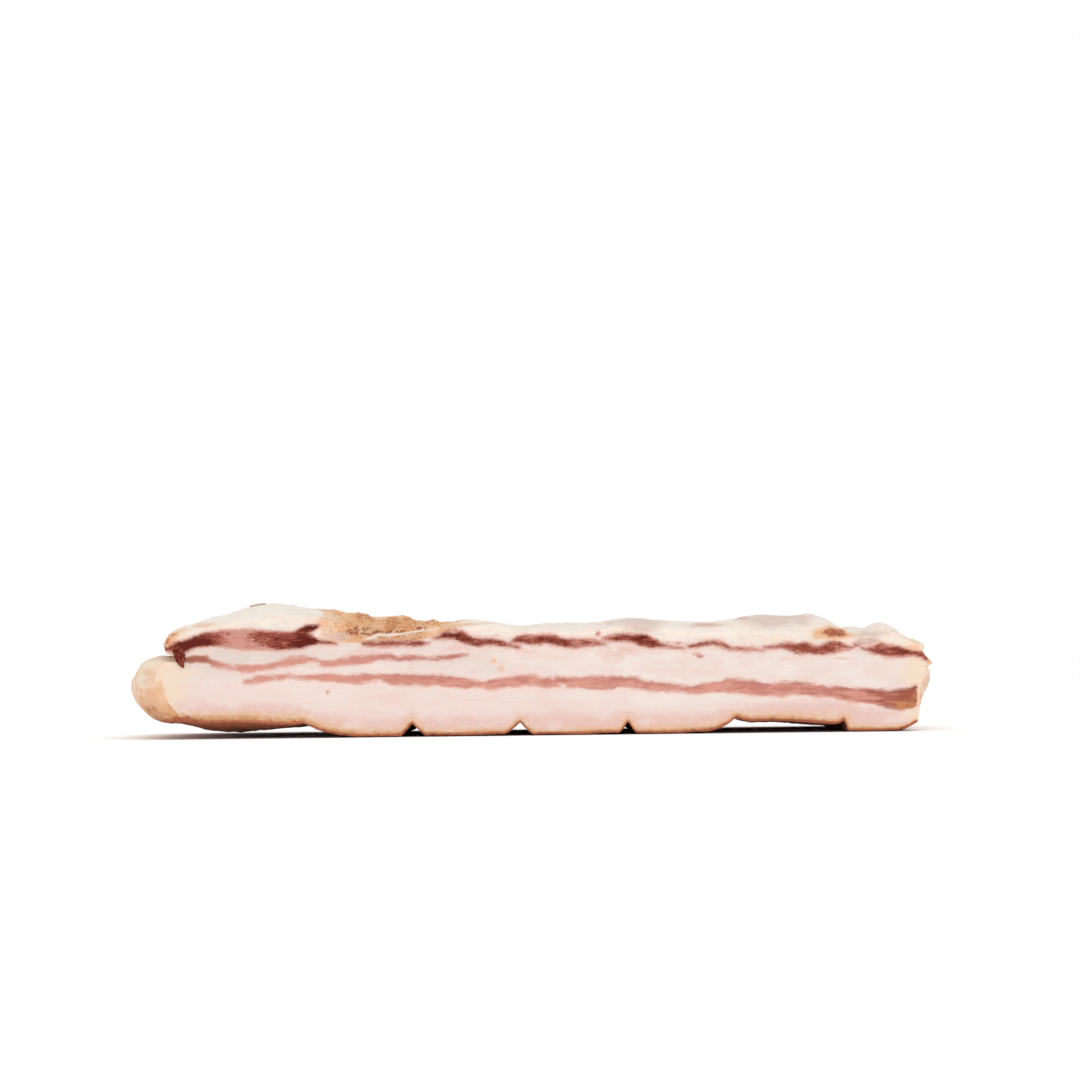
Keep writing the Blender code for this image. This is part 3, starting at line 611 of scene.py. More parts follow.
class Net:
    """Places of the slab's points, by column, ring and row of the block that it is bent from."""

    def __init__(self, radius):
        self.columns = column_places()
        self.rings = depth_places(radius)
        self.rows = [k / ROW_COUNT for k in range(ROW_COUNT + 1)]
        self.radius = radius
        self.sections = {}
        self.ends = {}
        for j, y in enumerate(self.rings):
            for end, place, _ in ENDS:
                self.ends[end, j] = self.section(place, y)[1:]
            for k, row in enumerate(self.rows):
                left = mix(LEFT_SIDE, LEFT_CORNER, bump(row, 0.0, LEFT_CORNER_ROWS))
                right = mix(radius, RIGHT_SIDE, ease((row - RIGHT_SIDE_ROW) / RIGHT_SIDE_RUN))
                for end, form, corner in (("left", left_end, left), ("right", right_end, right)):
                    out, share = form(row, y)
                    self.ends[end, j, k] = (out - edge_inset(from_cut(y), corner), share)
            for i, column in enumerate(self.columns):
                self.sections[i, j] = self.section(follow_folds(column, y), y)
        self.skins = {j: self.skin_line(j) for j in (0, len(self.rings) - 1)}

    def section(self, x, y):
        """x, and the underside and the top there, drawn in where a cut's edge is round."""
        first, run = LEFT_CORNER_REACH
        below = edge_inset(from_cut(y), mix(self.radius, LEFT_UNDER, ease((first - x) / run)))
        above = edge_inset(from_cut(y), self.radius)
        return x, underside_height(x, y) + below, top_height(x, y) - above

    def point(self, i, j, k):
        """X, Y, height and the underside and top there."""
        y, row = self.rings[j], self.rows[k]
        column, low, high = self.sections[i, j]
        x, z = column, mix(low, high, row)
        for end, place, sign in ENDS:
            felt = (1 - clamp(abs(column - place) / END_BLEND)) ** 2
            if felt:
                out, share = self.ends[end, j, k]
                end_low, end_high = self.ends[end, j]
                z += felt * (end_high - end_low) * (share - row)
                x += felt * sign * out
        behind = from_cut(y)
        if behind < CUT_WAVER_REACH:
            cut = math.copysign(DEPTH / 2, y)
            waver = CUT_WAVER * (0.5 + 0.5 * unrest(x / CUT_WAVER_X, z / CUT_WAVER_Z, cut))
            y -= math.copysign(waver * (1 - behind / CUT_WAVER_REACH), y)
        return x, y, z, low, high

    def skin_line(self, j):
        """X and height of the rind's outer side along the bottom of a cut."""
        points = [self.point(i, j, 0) for i in range(len(self.columns))]
        return [(point[0], point[2]) for point in points]

    def below_top(self, i, j, k, z, high):
        """How far a point lies below the top that it stands under."""
        if i in (0, len(self.columns) - 1):
            return self.ends["right" if i else "left", j][1] - z
        return 0.0 if k == len(self.rows) - 1 else high - z

    def rind_depth(self, i, j, k, x, z, low):
        """How far a point is from the rind's outer side, counted in rinds of usual thickness."""
        if k == 0:
            return 0.0
        if i == 0:
            return max(0.0, self.rows[k] - SKIN_ROWS) * SKIN_FADE
        height = z - along_line(RIND_LINE, x)
        if j not in self.skins or z - low > NEAR_RIND:
            return height
        near = [point for point in self.skins[j] if abs(point[0] - x) < NEAR_RIND + RIND_SEARCH]
        depth = distance_to_line(x, z, near)
        rinds = depth / (RIND_THIN + bumps(x, RIND_SWELLS))
        return mix(rinds, max(height, depth), ease((depth - RIND_BLEND) / RIND_BLEND_RUN))


def torn_share(x, z, inward):
    """1 in the torn crust of the front and of the top behind it, 0 outside it, with a ragged rim."""
    stray = unrest(x / RIM_SIZE, inward / RIM_SIZE, 6.6)
    stray += RIM_FINE * unrest(x / RIM_FINE_SIZE, inward / RIM_FINE_SIZE, 2.7)
    stray *= TORN_STRAY * ease(inward / RIM_RUN)
    first, last = TORN_FACE
    side = min((x - first + stray) / PEACH_RUN, (last - x + stray) / TORN_MARGIN + TORN_RIGHT_OVER)
    side = min(side, (TORN_BACK + TORN_BACK_STRAY * stray - inward) / TORN_MARGIN)
    return ease(side) * ease((z - along_line(TORN_FLOOR, x)) / TORN_FLOOR_BLUR + 0.5)


def film_share(x, y, z, front, torn):
    """How thick the film lies: as outlined on the front, and in loose patches farther in."""
    far = sum((share * unrest(x / a, y / b, pattern) for share, a, b, pattern in FAR_FILMS), FAR_FILM)
    outlined = spots(x, z, MEMBRANES) * ease(front * FILM_HOLD)
    film = mix(far * FAR_FILM_SHARE * (1 - torn), outlined, ease(front * OUTLINE_HOLD))
    return film * (1 - ease(1 - (RIGHT_END - x) / FILM_END_RUN))


def left_end_dried(row, y, z):
    """How the lower left end has dried, tan and dotted, and how it darkens towards its foot."""
    row += END_ROWS_STRAY * unrest(y / END_ROWS_SIZE, row * END_ROWS_TURNS, 3.3)
    tan, stain, dots = (ease((first - row) / run) for first, run in (TAN_ROWS, FOOT_DARK_ROWS, DOT_ROWS))
    dotted = max(0.0, unrest(y / DOT_SIZE, z / DOT_SIZE, 7.9))
    return LEFT_TAN * tan + LEFT_FOOT_DARK * stain + LEFT_DOTS * dots * dotted


def aged_share(x, z):
    """How yellowed the fat is towards the two ends."""
    first, run = LEFT_AGED_CLIMB
    left = ease(1 - (x - LEFT_END) / mix(*LEFT_AGED, ease((z - first) / run)))
    first, run = RIGHT_AGED_CLIMB
    return max(left, ease(1 - (RIGHT_END - x) / RIGHT_AGED) * ease((z - first) / run))


def paint_point(net, i, j, k, place):
    """What the relief and the finish need to know about one point."""
    x, y, z, low, high = place
    ring = net.rings[j]
    inward = behind_front(ring)
    front = max(0.0, 1 - inward / TORN_FACE_REACH)
    near_front = bump(inward, 0.0, SPOT_DEPTH)
    lens = lean_depth(DARK_LEAN, DARK_LAYER, x, y, z)
    long, thin = (LONG_LEAN,), (THIN_LEAN,)
    pale = max(lean_depth(long, LONG_LAYER, x, y, z), lean_depth(thin, THIN_LAYER, x, y, z))
    torn = torn_share(x, z, inward)
    dried = spots(x, z, DRIED_SPOTS) * near_front
    if i == 0:
        dried += left_end_dried(net.rows[k], y, z)
    return {
        "dark_lean": min(lens, net.below_top(i, j, k, z, high) - LENS_COVER),
        "pale_lean": pale - spots(x, z, LEAN_GAPS) * near_front,
        "lean_tone": LEAN_TONE + bumps(x + TONE_STRAY * unrest(y / STRAY_Y, 1.7), LEAN_TONES),
        "above_long": z - long_middle(x),
        "above_dark": z - along_line(DARK_LINE, x),
        "rind_depth": min(net.rind_depth(i, j, k, x, z, low), DEEP_INSIDE),
        "behind_cut": min(from_cut(ring), DEEP_INSIDE),
        "torn": torn,
        "porous": spots(x, z, PORES) * ease(front * PORE_HOLD),
        "lip": max(band_depth(LIP, x, z), NO_LIP) if front > LIP_HOLD else NO_LIP,
        "membrane": film_share(x, y, z, front, torn),
        "rosy_film": spots(x, z, ROSY_FILMS) * ease(front * FILM_HOLD),
        "dried": dried,
        "speck": spots(x, z, RED_SPECKS) * near_front,
        "aged": aged_share(x, z),
        "show_through": lens,
    }


class Wiring:
    """Adds nodes to one tree, and hands back the outputs that the next nodes need."""

    def __init__(self, tree):
        self.tree = tree
        self.in_geometry = tree.bl_idname == "GeometryNodeTree"

    def node(self, kind, inputs=None, **settings):
        made = self.tree.nodes.new(kind)
        for key, value in settings.items():
            setattr(made, key, value)
        for key, value in (inputs or {}).items():
            self.feed(made.inputs[key], value)
        return made

    def feed(self, socket, value):
        if isinstance(value, bpy.types.NodeSocket):
            self.tree.links.new(value, socket)
        elif socket.type == "RGBA" and len(value) == 3:
            socket.default_value = (*value, 1.0)
        else:
            socket.default_value = value

    def maths(self, operation, *values):
        return self.node("ShaderNodeMath", dict(enumerate(values)), operation=operation).outputs[0]

    def add(self, *values):
        total = values[0]
        for value in values[1:]:
            total = self.maths("ADD", total, value)
        return total

    def times(self, *values):
        product = values[0]
        for value in values[1:]:
            product = self.maths("MULTIPLY", product, value)
        return product

    def swing(self, pattern, reach):
        """A pattern that stays near 0.5 as a value between about minus and plus reach."""
        return self.maths("MULTIPLY_ADD", pattern, 4 * reach, -2 * reach)

    def step(self, value, low, high, start=0.0, stop=1.0):
        """Eases from start to stop as value goes from low to high."""
        inputs = {"Value": value, "From Min": low, "From Max": high, "To Min": start, "To Max": stop}
        return self.node("ShaderNodeMapRange", inputs, interpolation_type="SMOOTHSTEP").outputs[0]

    def ridge(self, value, low, high):
        """0 outside low to high, and 1 midway between them."""
        middle = (low + high) / 2
        return self.times(self.step(value, low, middle), self.step(value, high, middle))

    def blend(self, amount, first, second):
        """A colour between first and second."""
        made = self.node("ShaderNodeMix", {0: amount, 6: first, 7: second}, data_type="RGBA")
        return made.outputs[2]

    def between(self, amount, first, second):
        """A number between first and second."""
        made = self.node("ShaderNodeMix", {0: amount, 2: first, 3: second}, data_type="FLOAT")
        return made.outputs[0]

    def laid(self, colour, *layers):
        """A colour with others over it in turn. Each layer is its mask and its colour."""
        for mask, above in layers:
            colour = self.blend(mask, colour, above)
        return colour

    def tint(self, finish, *layers):
        """A finish whose colour alone has others over it."""
        return finish._replace(colour=self.laid(finish.colour, *layers))

    def cover(self, mask, below, above):
        """One finish over another where the mask is 1."""
        return Finish(
            self.blend(mask, below.colour, above.colour),
            self.between(mask, below.roughness, above.roughness),
            self.between(mask, below.height, above.height),
        )

    def ramp(self, value, stops):
        """Colours at places from 0 to 1."""
        made = self.node("ShaderNodeValToRGB", {0: value})
        elements = made.color_ramp.elements
        while len(elements) < len(stops):
            elements.new(1.0)
        for element, (place, colour) in zip(elements, stops):
            element.position = place
            element.color = (*colour, 1.0)
        return made.outputs[0]

    def attribute(self, name):
        if self.in_geometry:
            named = self.node("GeometryNodeInputNamedAttribute", {"Name": name}, data_type="FLOAT")
            return named.outputs[0]
        return self.node("ShaderNodeAttribute", attribute_name=name).outputs["Fac"]

    def scaled(self, vector, factor):
        return self.node("ShaderNodeVectorMath", {0: vector, "Scale": factor}, operation="SCALE").outputs[0]

    def stretched(self, place, stretch):
        return self.node("ShaderNodeVectorMath", {0: place, 1: stretch}, operation="MULTIPLY").outputs[0]

    def distance(self, place, point):
        made = self.node("ShaderNodeVectorMath", {0: place, 1: point}, operation="DISTANCE")
        return made.outputs["Value"]

    def turned(self, place, angle):
        """A place turned about the Y axis, so that what is stretched along Z lies aslant."""
        made = self.node("ShaderNodeVectorRotate", {"Vector": place, "Angle": angle}, rotation_type="Y_AXIS")
        return made.outputs[0]

    def along_slab(self, place):
        return self.node("ShaderNodeSeparateXYZ", {0: place}).outputs[0]

    def millimetres(self):
        """Where the point is, in millimetres."""
        if self.in_geometry:
            return self.scaled(self.node("GeometryNodeInputPosition").outputs[0], 1 / MM)
        return self.scaled(self.node("ShaderNodeTexCoord").outputs["Object"], 1 / MM)

    def cloud(self, place, size, detail=2.0, roughness=0.5, stretch=None, distortion=0.0):
        """Soft noise from 0 to 1 whose patches are about size millimetres across.

        Along an axis whose stretch is below 1 they are drawn out by that much.
        """
        if stretch:
            place = self.stretched(place, stretch)
        inputs = {"Vector": place, "Scale": 1 / size, "Detail": detail, "Roughness": roughness}
        inputs["Distortion"] = distortion
        return self.node("ShaderNodeTexNoise", inputs).outputs[0]

    def cells(self, place, size, stretch=None):
        """Distance to the middle of the nearest of many cells, in cells of this size."""
        if stretch:
            place = self.stretched(place, stretch)
        return self.node("ShaderNodeTexVoronoi", {"Vector": place, "Scale": 1 / size}).outputs["Distance"]

    def moved(self, geometry, offset):
        return self.node("GeometryNodeSetPosition", {"Geometry": geometry, "Offset": offset}).outputs[0]

    def pushed_out(self, geometry, height):
        """Geometry whose points are moved outwards by a height."""
        normal = self.node("GeometryNodeInputNormal").outputs[0]
        return self.moved(geometry, self.scaled(normal, height))

    def realized(self, geometry):
        return self.node("GeometryNodeRealizeInstances", {0: geometry}).outputs[0]

    def random_vector(self, least, most, seed):
        inputs = {0: least, 1: most, 8: seed}
        return self.node("FunctionNodeRandomValue", inputs, data_type="FLOAT_VECTOR").outputs[0]


def linear(red, green, blue):
    """A colour as it looks under the stage's light, 0 to 255, turned into what the shader reckons with."""
    shares = [value / 255 for value in (red, green, blue)]
    return tuple((s / 12.92 if s <= 0.04045 else ((s + 0.055) / 1.055) ** 2.4) / STAGE_LIGHT for s in shares)


def colour_property(name, description, red, green, blue):
    return FloatVectorProperty(
        name=name,
        description=description,
        subtype="COLOR",
        min=0.0,
        max=1.0,
        default=linear(red, green, blue),
    )


def length_property(name, description, millimetres, most=10.0):
    return FloatProperty(
        name=name,
        description=description,
        default=millimetres * MM,
        min=0.0,
        max=most * MM,
        subtype="DISTANCE",
        unit="LENGTH",
        precision=5,
    )


class SlabSizes(bpy.types.PropertyGroup):
    edge_radius: length_property("Edge radius", "Rounding of the edges that the knife left", 0.7, 2.0)
    lean_sunk: length_property("Lean sunk", "How far the lean has dried back behind the fat", 0.42)
    cut_grain: length_property("Cut grain", "Fine unevenness of the cut fat", 0.07)
    crag_height: length_property("Crag height", "Height of the crags of the torn crust", 0.28)
    pore_depth: length_property("Pore depth", "Depth of the pores in the torn crust", 0.4)
    lip_height: length_property("Lip height", "How far the pulled lip of fat stands out", 0.55)
    film_wrinkle: length_property("Film wrinkle", "Height of the wrinkles on the flesh side", 0.32)
    rind_wrinkle: length_property("Rind wrinkle", "Height of the creases in the rind", 0.3)


class FatColours(bpy.types.PropertyGroup):
    middle: colour_property("Middle fat", "Cut fat in the middle of the slab", 243, 223, 217)
    fresh: colour_property("Fresh fat", "Palest patches of the cut fat", 244, 233, 225)
    rosy: colour_property("Rosy fat", "Cut fat a little above the rind and beside lean", 238, 204, 194)
    warm: colour_property("Warm fat", "Cut fat next to the rind", 237, 197, 168)
    grey: colour_property("Grey fat", "Greyish fat between the lean layers on the left", 228, 214, 206)
    aged: colour_property("Aged fat", "Yellowed fat at both ends", 245, 225, 203)
    peach: colour_property("Dried fat", "Fat that has dried to a peach tone", 240, 193, 156)
    cream: colour_property("Cream fat", "Fat of the flesh side", 246, 236, 225)
    film: colour_property("Film", "Grey film over the flesh side", 219, 197, 187)
    film_edge: colour_property("Film edge", "Rosy rim of the film", 212, 168, 154)


class LeanColours(bpy.types.PropertyGroup):
    salmon: colour_property("Salmon lean", "Palest lean", 226, 163, 146)
    rose: colour_property("Rose lean", "Middle tone of the pale lean", 204, 136, 122)
    brown: colour_property("Brown lean", "Pale lean where it has dried at the right", 168, 92, 72)
    orange: colour_property("Orange lean", "Dried end of the pale lean", 212, 146, 100)
    streak: colour_property("Lean streak", "Palest streaks in the dark lean", 216, 160, 145)
    medium: colour_property("Medium lean", "Middle tone of the dark lean", 157, 79, 60)
    deep: colour_property("Deep lean", "Darkest lean", 104, 26, 14)


class CrustColours(bpy.types.PropertyGroup):
    rind: colour_property("Cut rind", "Rind where the knife went through it", 226, 178, 132)
    rind_dark: colour_property("Dark cut rind", "Deeper patches of the cut rind", 202, 148, 98)
    # Skin and stained skin are darker and redder than the rind's own tan: partly their own colour, partly
    # painted shade, because the outer side is seen from in front only in the shade under the left belly.
    skin: colour_property("Skin", "Outer side of the rind", 188, 114, 84)
    skin_stain: colour_property("Stained skin", "Stains and creases of the rind's outer side", 142, 66, 48)
    # Dark skin also draws the dashed dark line along the foot of the cut rind, which is painted shade under
    # the edge.
    skin_dark: colour_property("Dark skin", "Pores and nicks of the rind's outer side", 112, 40, 28)
    torn: colour_property("Torn crust", "Browned torn crust", 237, 184, 138)
    torn_light: colour_property("Light torn crust", "Palest grains of the torn crust", 249, 219, 190)
    torn_dark: colour_property("Dark torn crust", "Deepest tone of the torn crust", 204, 136, 90)
    pore: colour_property("Pore", "Inside of the torn crust's pores", 156, 84, 66)
    lip: colour_property("Lip", "Pale lip of fat along the torn crust", 243, 226, 212)


class CrumbSizes(bpy.types.PropertyGroup):
    smallest: length_property("Smallest", "Radius of the smallest crumb", 0.12, 2.0)
    largest: length_property("Largest", "Radius of the largest crumb", 0.3, 2.0)
    spacing: length_property("Spacing", "Mean distance between crumbs", 1.25, 20.0)
    seed: IntProperty(name="Seed", description="Another number scatters them otherwise", default=7)


class StageSettings(bpy.types.PropertyGroup):
    floor: FloatVectorProperty(
        name="Floor",
        description="Colour of the floor",
        subtype="COLOR",
        min=0.0,
        max=1.0,
        default=(1.0, 1.0, 1.0),
    )
    floor_size: FloatProperty(name="Floor size", description="Side of the floor", default=6.0, unit="LENGTH")
    sky: FloatProperty(
        name="Room light", description="Strength of the light all round", default=1.0, min=0.0
    )
    key: FloatProperty(
        name="Main light", description="Power of the large light above", default=3.0, unit="POWER"
    )
    fill: FloatProperty(
        name="Front light", description="Power of the low light in front", default=4.5, unit="POWER"
    )
    lens: FloatProperty(name="Lens", description="Focal length on a 36 mm wide sensor", default=115.2)
    distance: FloatProperty(
        name="Distance", description="From the camera to the slab's middle", default=1.37, unit="LENGTH"
    )
    height: FloatProperty(name="Height", description="Camera above the floor", default=0.024, unit="LENGTH")
    aside: FloatProperty(
        name="Aside", description="Camera right of the slab's middle", default=0.0047, unit="LENGTH"
    )
    pitch: FloatProperty(
        name="Pitch", description="Camera turned up from level", default=math.radians(2.18), subtype="ANGLE"
    )
    roll: FloatProperty(
        name="Roll",
        description="Camera tilted, so that the right lies higher",
        default=math.radians(0.67),
        subtype="ANGLE",
    )


GROUPS = {
    "belly_sizes": SlabSizes,
    "belly_fat": FatColours,
    "belly_lean": LeanColours,
    "belly_crust": CrustColours,
    "belly_crumbs": CrumbSizes,
    "belly_stage": StageSettings,
}


def new_material(name):
    """An empty material with its shader, and the wiring for it."""
    material = bpy.data.materials.new(name)
    material.use_nodes = True
    wires = Wiring(material.node_tree)
    shader = material.node_tree.nodes["Principled BSDF"]
    return material, wires, shader


def connect_finish(wires, shader, finish, subsurface, reach):
    """Gives the shader its colour, roughness and relief. Heights are in millimetres."""
    wires.feed(shader.inputs["Base Color"], finish.colour)
    wires.feed(shader.inputs["Roughness"], finish.roughness)
    relief = wires.node("ShaderNodeBump", {"Strength": 1.0, "Distance": MM, "Height": finish.height})
    wires.feed(shader.inputs["Normal"], relief.outputs[0])
    shader.inputs["Subsurface Weight"].default_value = subsurface
    shader.inputs["Subsurface Radius"].default_value = SCATTER
    shader.inputs["Subsurface Scale"].default_value = reach * MM
    shader.inputs["Specular IOR Level"].default_value = SHINE


def cut_fat(wires, place, fat):
    """Fat on the cuts: warm above the rind, rosy higher up, greyish between the lean layers on the left."""
    x = wires.along_slab(place)
    broad = wires.cloud(place, 26.0, 2.0, 0.5, (0.6, 0.6, 1.0))
    patch = wires.cloud(place, 8.0, 3.0, 0.55, (0.5, 0.5, 1.0))
    fine = wires.cloud(place, 1.3, 3.0)
    sheets = wires.cloud(place, 1.5, 3.0, 0.6, (0.05, 0.2, 1.0), 0.3)
    pinks = wires.cloud(place, 10.0, 4.0, 0.6, (0.55, 0.5, 1.0))
    grains = wires.cells(place, 1.7, (0.7, 0.7, 1.0))
    creams = wires.cloud(place, 6.0, 4.0, 0.6, (0.5, 0.6, 1.0))
    strokes = wires.cloud(wires.turned(place, KNIFE_TURN), 1.1, 2.0, 0.5, (1.0, 0.3, 0.12), 0.3)
    near_marks = wires.step(wires.distance(place, KNIFE_MARKS), *KNIFE_REACH)

    depth = wires.add(wires.attribute("rind_depth"), wires.swing(patch, 1.4), wires.swing(fine, 0.4))
    by_depth = ((0.0, fat.warm), (0.03, fat.warm), (0.12, fat.rosy), (0.2, fat.rosy))
    by_depth += ((0.46, fat.middle), (1.0, fat.middle))
    upper = wires.step(wires.add(wires.attribute("above_long"), wires.swing(patch, 3.0)), 1.0, 6.0)
    left = wires.step(wires.add(x, wires.swing(broad, 50.0)), 20.0, -60.0, 0.15, 0.85)
    pale = wires.step(wires.add(broad, wires.swing(patch, 0.3)), 0.4, 0.68)
    right = wires.step(x, -40.0, 40.0, 0.45, 0.95)
    marks = wires.times(wires.step(strokes, 0.5, 0.6), near_marks)
    # Painted shade: the hollows between the raised knife marks are tinted darker and rosier.
    painted_hollow_shade = wires.times(wires.step(strokes, 0.46, 0.38), near_marks)
    colour = wires.laid(
        wires.ramp(wires.step(depth, 0.0, 18.0), by_depth),
        (wires.times(upper, left), fat.grey),
        (wires.times(pale, wires.step(depth, 6.0, 12.0), right), fat.fresh),
        (wires.step(pinks, 0.5, 0.68, 0.0, 0.36), fat.rosy),
        (wires.step(grains, 0.1, 0.6, 0.22, 0.0), fat.fresh),
        (wires.step(creams, 0.5, 0.66, 0.0, 0.5), fat.fresh),
        (wires.step(sheets, 0.54, 0.72, 0.0, 0.3), fat.rosy),
        (wires.times(marks, 0.8), fat.fresh),
        # painted shade in the knife marks' hollows
        (wires.times(painted_hollow_shade, 0.2), fat.film_edge),
    )
    roughness = wires.add(0.42, wires.times(fine, 0.12), wires.times(sheets, 0.06))
    height = wires.add(wires.times(fine, 0.05), wires.times(sheets, 0.06), wires.times(marks, 0.12))
    return Finish(colour, roughness, height)


def flesh_side_fat(wires, place, fat):
    """Cream fat of the outer sides, with creases and faint rosy veins."""
    broad = wires.cloud(place, 19.0, 3.0)
    patch = wires.cloud(place, 5.0, 3.0, 0.6)
    fine = wires.cloud(place, 1.1, 4.0, 0.6)
    vein = wires.ridge(wires.cloud(place, 4.0, 4.0, 0.6, (0.35, 0.8, 0.8), 0.8), 0.46, 0.54)
    colour = wires.laid(
        fat.cream,
        (wires.step(broad, 0.48, 0.72, 0.0, 0.75), fat.aged),
        (wires.step(patch, 0.5, 0.78, 0.0, 0.5), fat.fresh),
        (wires.times(vein, 0.22), fat.rosy),
    )
    roughness = wires.add(0.4, wires.times(patch, 0.16), wires.times(fine, 0.1))
    height = wires.add(wires.times(fine, 0.12), wires.times(patch, 0.1), wires.times(vein, -0.08))
    return Finish(colour, roughness, height)


def pale_lean(wires, place, lean):
    """Pale lean: salmon with rose streaks along it, browner at both ends and orange low on the right."""
    x = wires.along_slab(place)
    above_long = wires.attribute("above_long")
    streaks = wires.cloud(place, 1.5, 4.0, 0.6, (0.16, 0.3, 1.0), 0.6)
    fibres = wires.cloud(place, 0.7, 3.0, 0.6, (0.3, 0.6, 1.0))
    blots = wires.cloud(place, 3.0, 4.0, 0.62, (0.5, 0.6, 1.0), 0.5)
    patch = wires.cloud(place, 9.0, 2.0, 0.5, (0.5, 0.5, 1.0))
    tone = wires.add(wires.swing(streaks, 0.5), wires.swing(patch, 0.35), wires.swing(blots, 0.6))
    tone = wires.add(tone, wires.times(above_long, 0.09), 0.45)
    start = wires.add(x, wires.swing(patch, 5.0), wires.swing(streaks, 5.0))
    right = wires.add(x, wires.swing(patch, 10.0), wires.swing(streaks, 16.0))
    low_end = wires.add(x, wires.swing(blots, 5.0), wires.times(above_long, -1.4))
    orange = wires.step(wires.add(blots, wires.swing(fibres, 0.3)), 0.4, 0.62, 0.1, 0.85)
    colour = wires.laid(
        lean.salmon,
        (wires.step(tone, 0.05, 0.95), lean.rose),
        (wires.step(x, -34.0, -76.0, 0.0, 0.75), lean.salmon),
        (wires.step(start, -116.0, -124.0, 0.0, 0.8), lean.brown),
        (wires.step(right, 112.0, 148.0), lean.brown),
        (wires.times(wires.step(low_end, 139.0, 145.0), orange), lean.orange),
    )
    roughness = wires.add(0.46, wires.times(fibres, 0.16))
    height = wires.add(wires.times(fibres, 0.09), wires.times(streaks, 0.1))
    return Finish(colour, roughness, height)


def dark_lean(wires, place, lean):
    """Dark lean: dried muscle with streaks that run along it."""
    streaks = wires.cloud(place, 1.2, 4.0, 0.62, (0.24, 0.4, 1.0), 0.5)
    fibres = wires.cloud(place, 0.6, 3.0, 0.65, (0.6, 0.7, 1.0))
    patch = wires.cloud(place, 3.4, 3.0, 0.55, (0.5, 0.6, 1.0))
    core = wires.step(wires.attribute("dark_lean"), 0.0, 1.5, -0.12, 0.2)
    tone = wires.add(wires.attribute("lean_tone"), wires.swing(streaks, 0.46), wires.swing(patch, 0.34))
    tone = wires.add(tone, core, wires.swing(fibres, 0.32))
    by_tone = ((0.0, lean.streak), (0.16, lean.rose), (0.5, lean.medium))
    by_tone += ((0.66, lean.medium), (1.0, lean.deep))
    roughness = wires.add(0.36, wires.times(fibres, 0.22), wires.times(patch, 0.08))
    height = wires.add(wires.times(fibres, 0.12), wires.times(streaks, 0.16))
    return Finish(wires.ramp(tone, by_tone), roughness, height)


def torn_crust(wires, place, crust):
    """Browned, crumbly crust: grains of several sizes, paler towards its left edge."""
    grains = wires.cells(place, 1.3)
    fine = wires.cloud(place, 0.6, 4.0, 0.7)
    patch = wires.cloud(place, 6.0, 3.0, 0.6)
    broad = wires.cloud(place, 12.0, 2.0)
    tone = wires.add(wires.swing(patch, 0.5), wires.swing(fine, 0.6), wires.times(grains, -0.4))
    paler = wires.step(wires.along_slab(place), -62.0, -72.0, 0.6, 0.84)
    tone = wires.add(tone, wires.swing(broad, 0.4), paler)
    by_tone = ((0.0, crust.torn_dark), (0.3, crust.torn), (0.6, crust.torn), (1.0, crust.torn_light))
    roughness = wires.add(0.62, wires.times(fine, 0.2))
    height = wires.add(wires.times(grains, -0.35), wires.times(fine, 0.3))
    return Finish(wires.ramp(tone, by_tone), roughness, height)


def rind_finish(wires, place, crust):
    """Rind: tan and dense where it is cut, stained and pored outside."""
    depth = wires.attribute("rind_depth")
    pores = wires.cells(place, 2.4)
    fine = wires.cloud(place, 0.9, 4.0, 0.65)
    patch = wires.cloud(place, 9.0, 4.0, 0.6)
    creases = wires.cloud(place, 3.0, 4.0, 0.6, (1.0, 0.35, 1.0), 0.6)
    broad = wires.cloud(place, 34.0, 3.0, 0.6)
    stain = wires.add(wires.step(patch, 0.42, 0.74, 0.0, 0.4), wires.swing(fine, 0.22))
    stain = wires.add(stain, wires.swing(broad, 0.5))
    # The outer skin's colours carry painted shade: they are darker and redder than the rind's own tan.
    outside = wires.laid(
        crust.skin,
        (stain, crust.skin_stain),
        (wires.step(creases, 0.42, 0.3, 0.0, 0.5), crust.skin_stain),
        (wires.step(pores, 0.3, 0.1, 0.0, 0.5), crust.skin_dark),
    )
    nicks = wires.step(wires.cloud(place, 5.0, 4.0, 0.7), 0.56, 0.7, 0.0, 0.9)
    cut = wires.step(wires.add(depth, wires.swing(fine, 0.2), wires.times(nicks, -0.8)), 0.0, 0.5)
    olive = wires.step(wires.cloud(place, 2.2, 4.0, 0.65), 0.42, 0.6, 0.0, 0.6)
    # Dark chips near the rind's outer side: nicks on the skin, and on the cut a dashed dark line at the
    # rind's foot, which is painted shade under the edge.
    chips_and_edge_shade = wires.step(wires.cloud(place, 2.6, 4.0, 0.7), 0.53, 0.66)
    colour = wires.laid(
        outside,
        (cut, wires.blend(olive, crust.rind, crust.rind_dark)),
        (wires.times(chips_and_edge_shade, wires.step(depth, 1.3, 0.2), 0.5), crust.skin_dark),
    )
    roughness = wires.add(0.5, wires.times(fine, 0.2))
    pitted = wires.step(pores, 0.34, 0.1, 0.0, -0.16)
    height = wires.add(wires.times(fine, 0.14), pitted, wires.times(creases, 0.16))
    return Finish(colour, roughness, height)


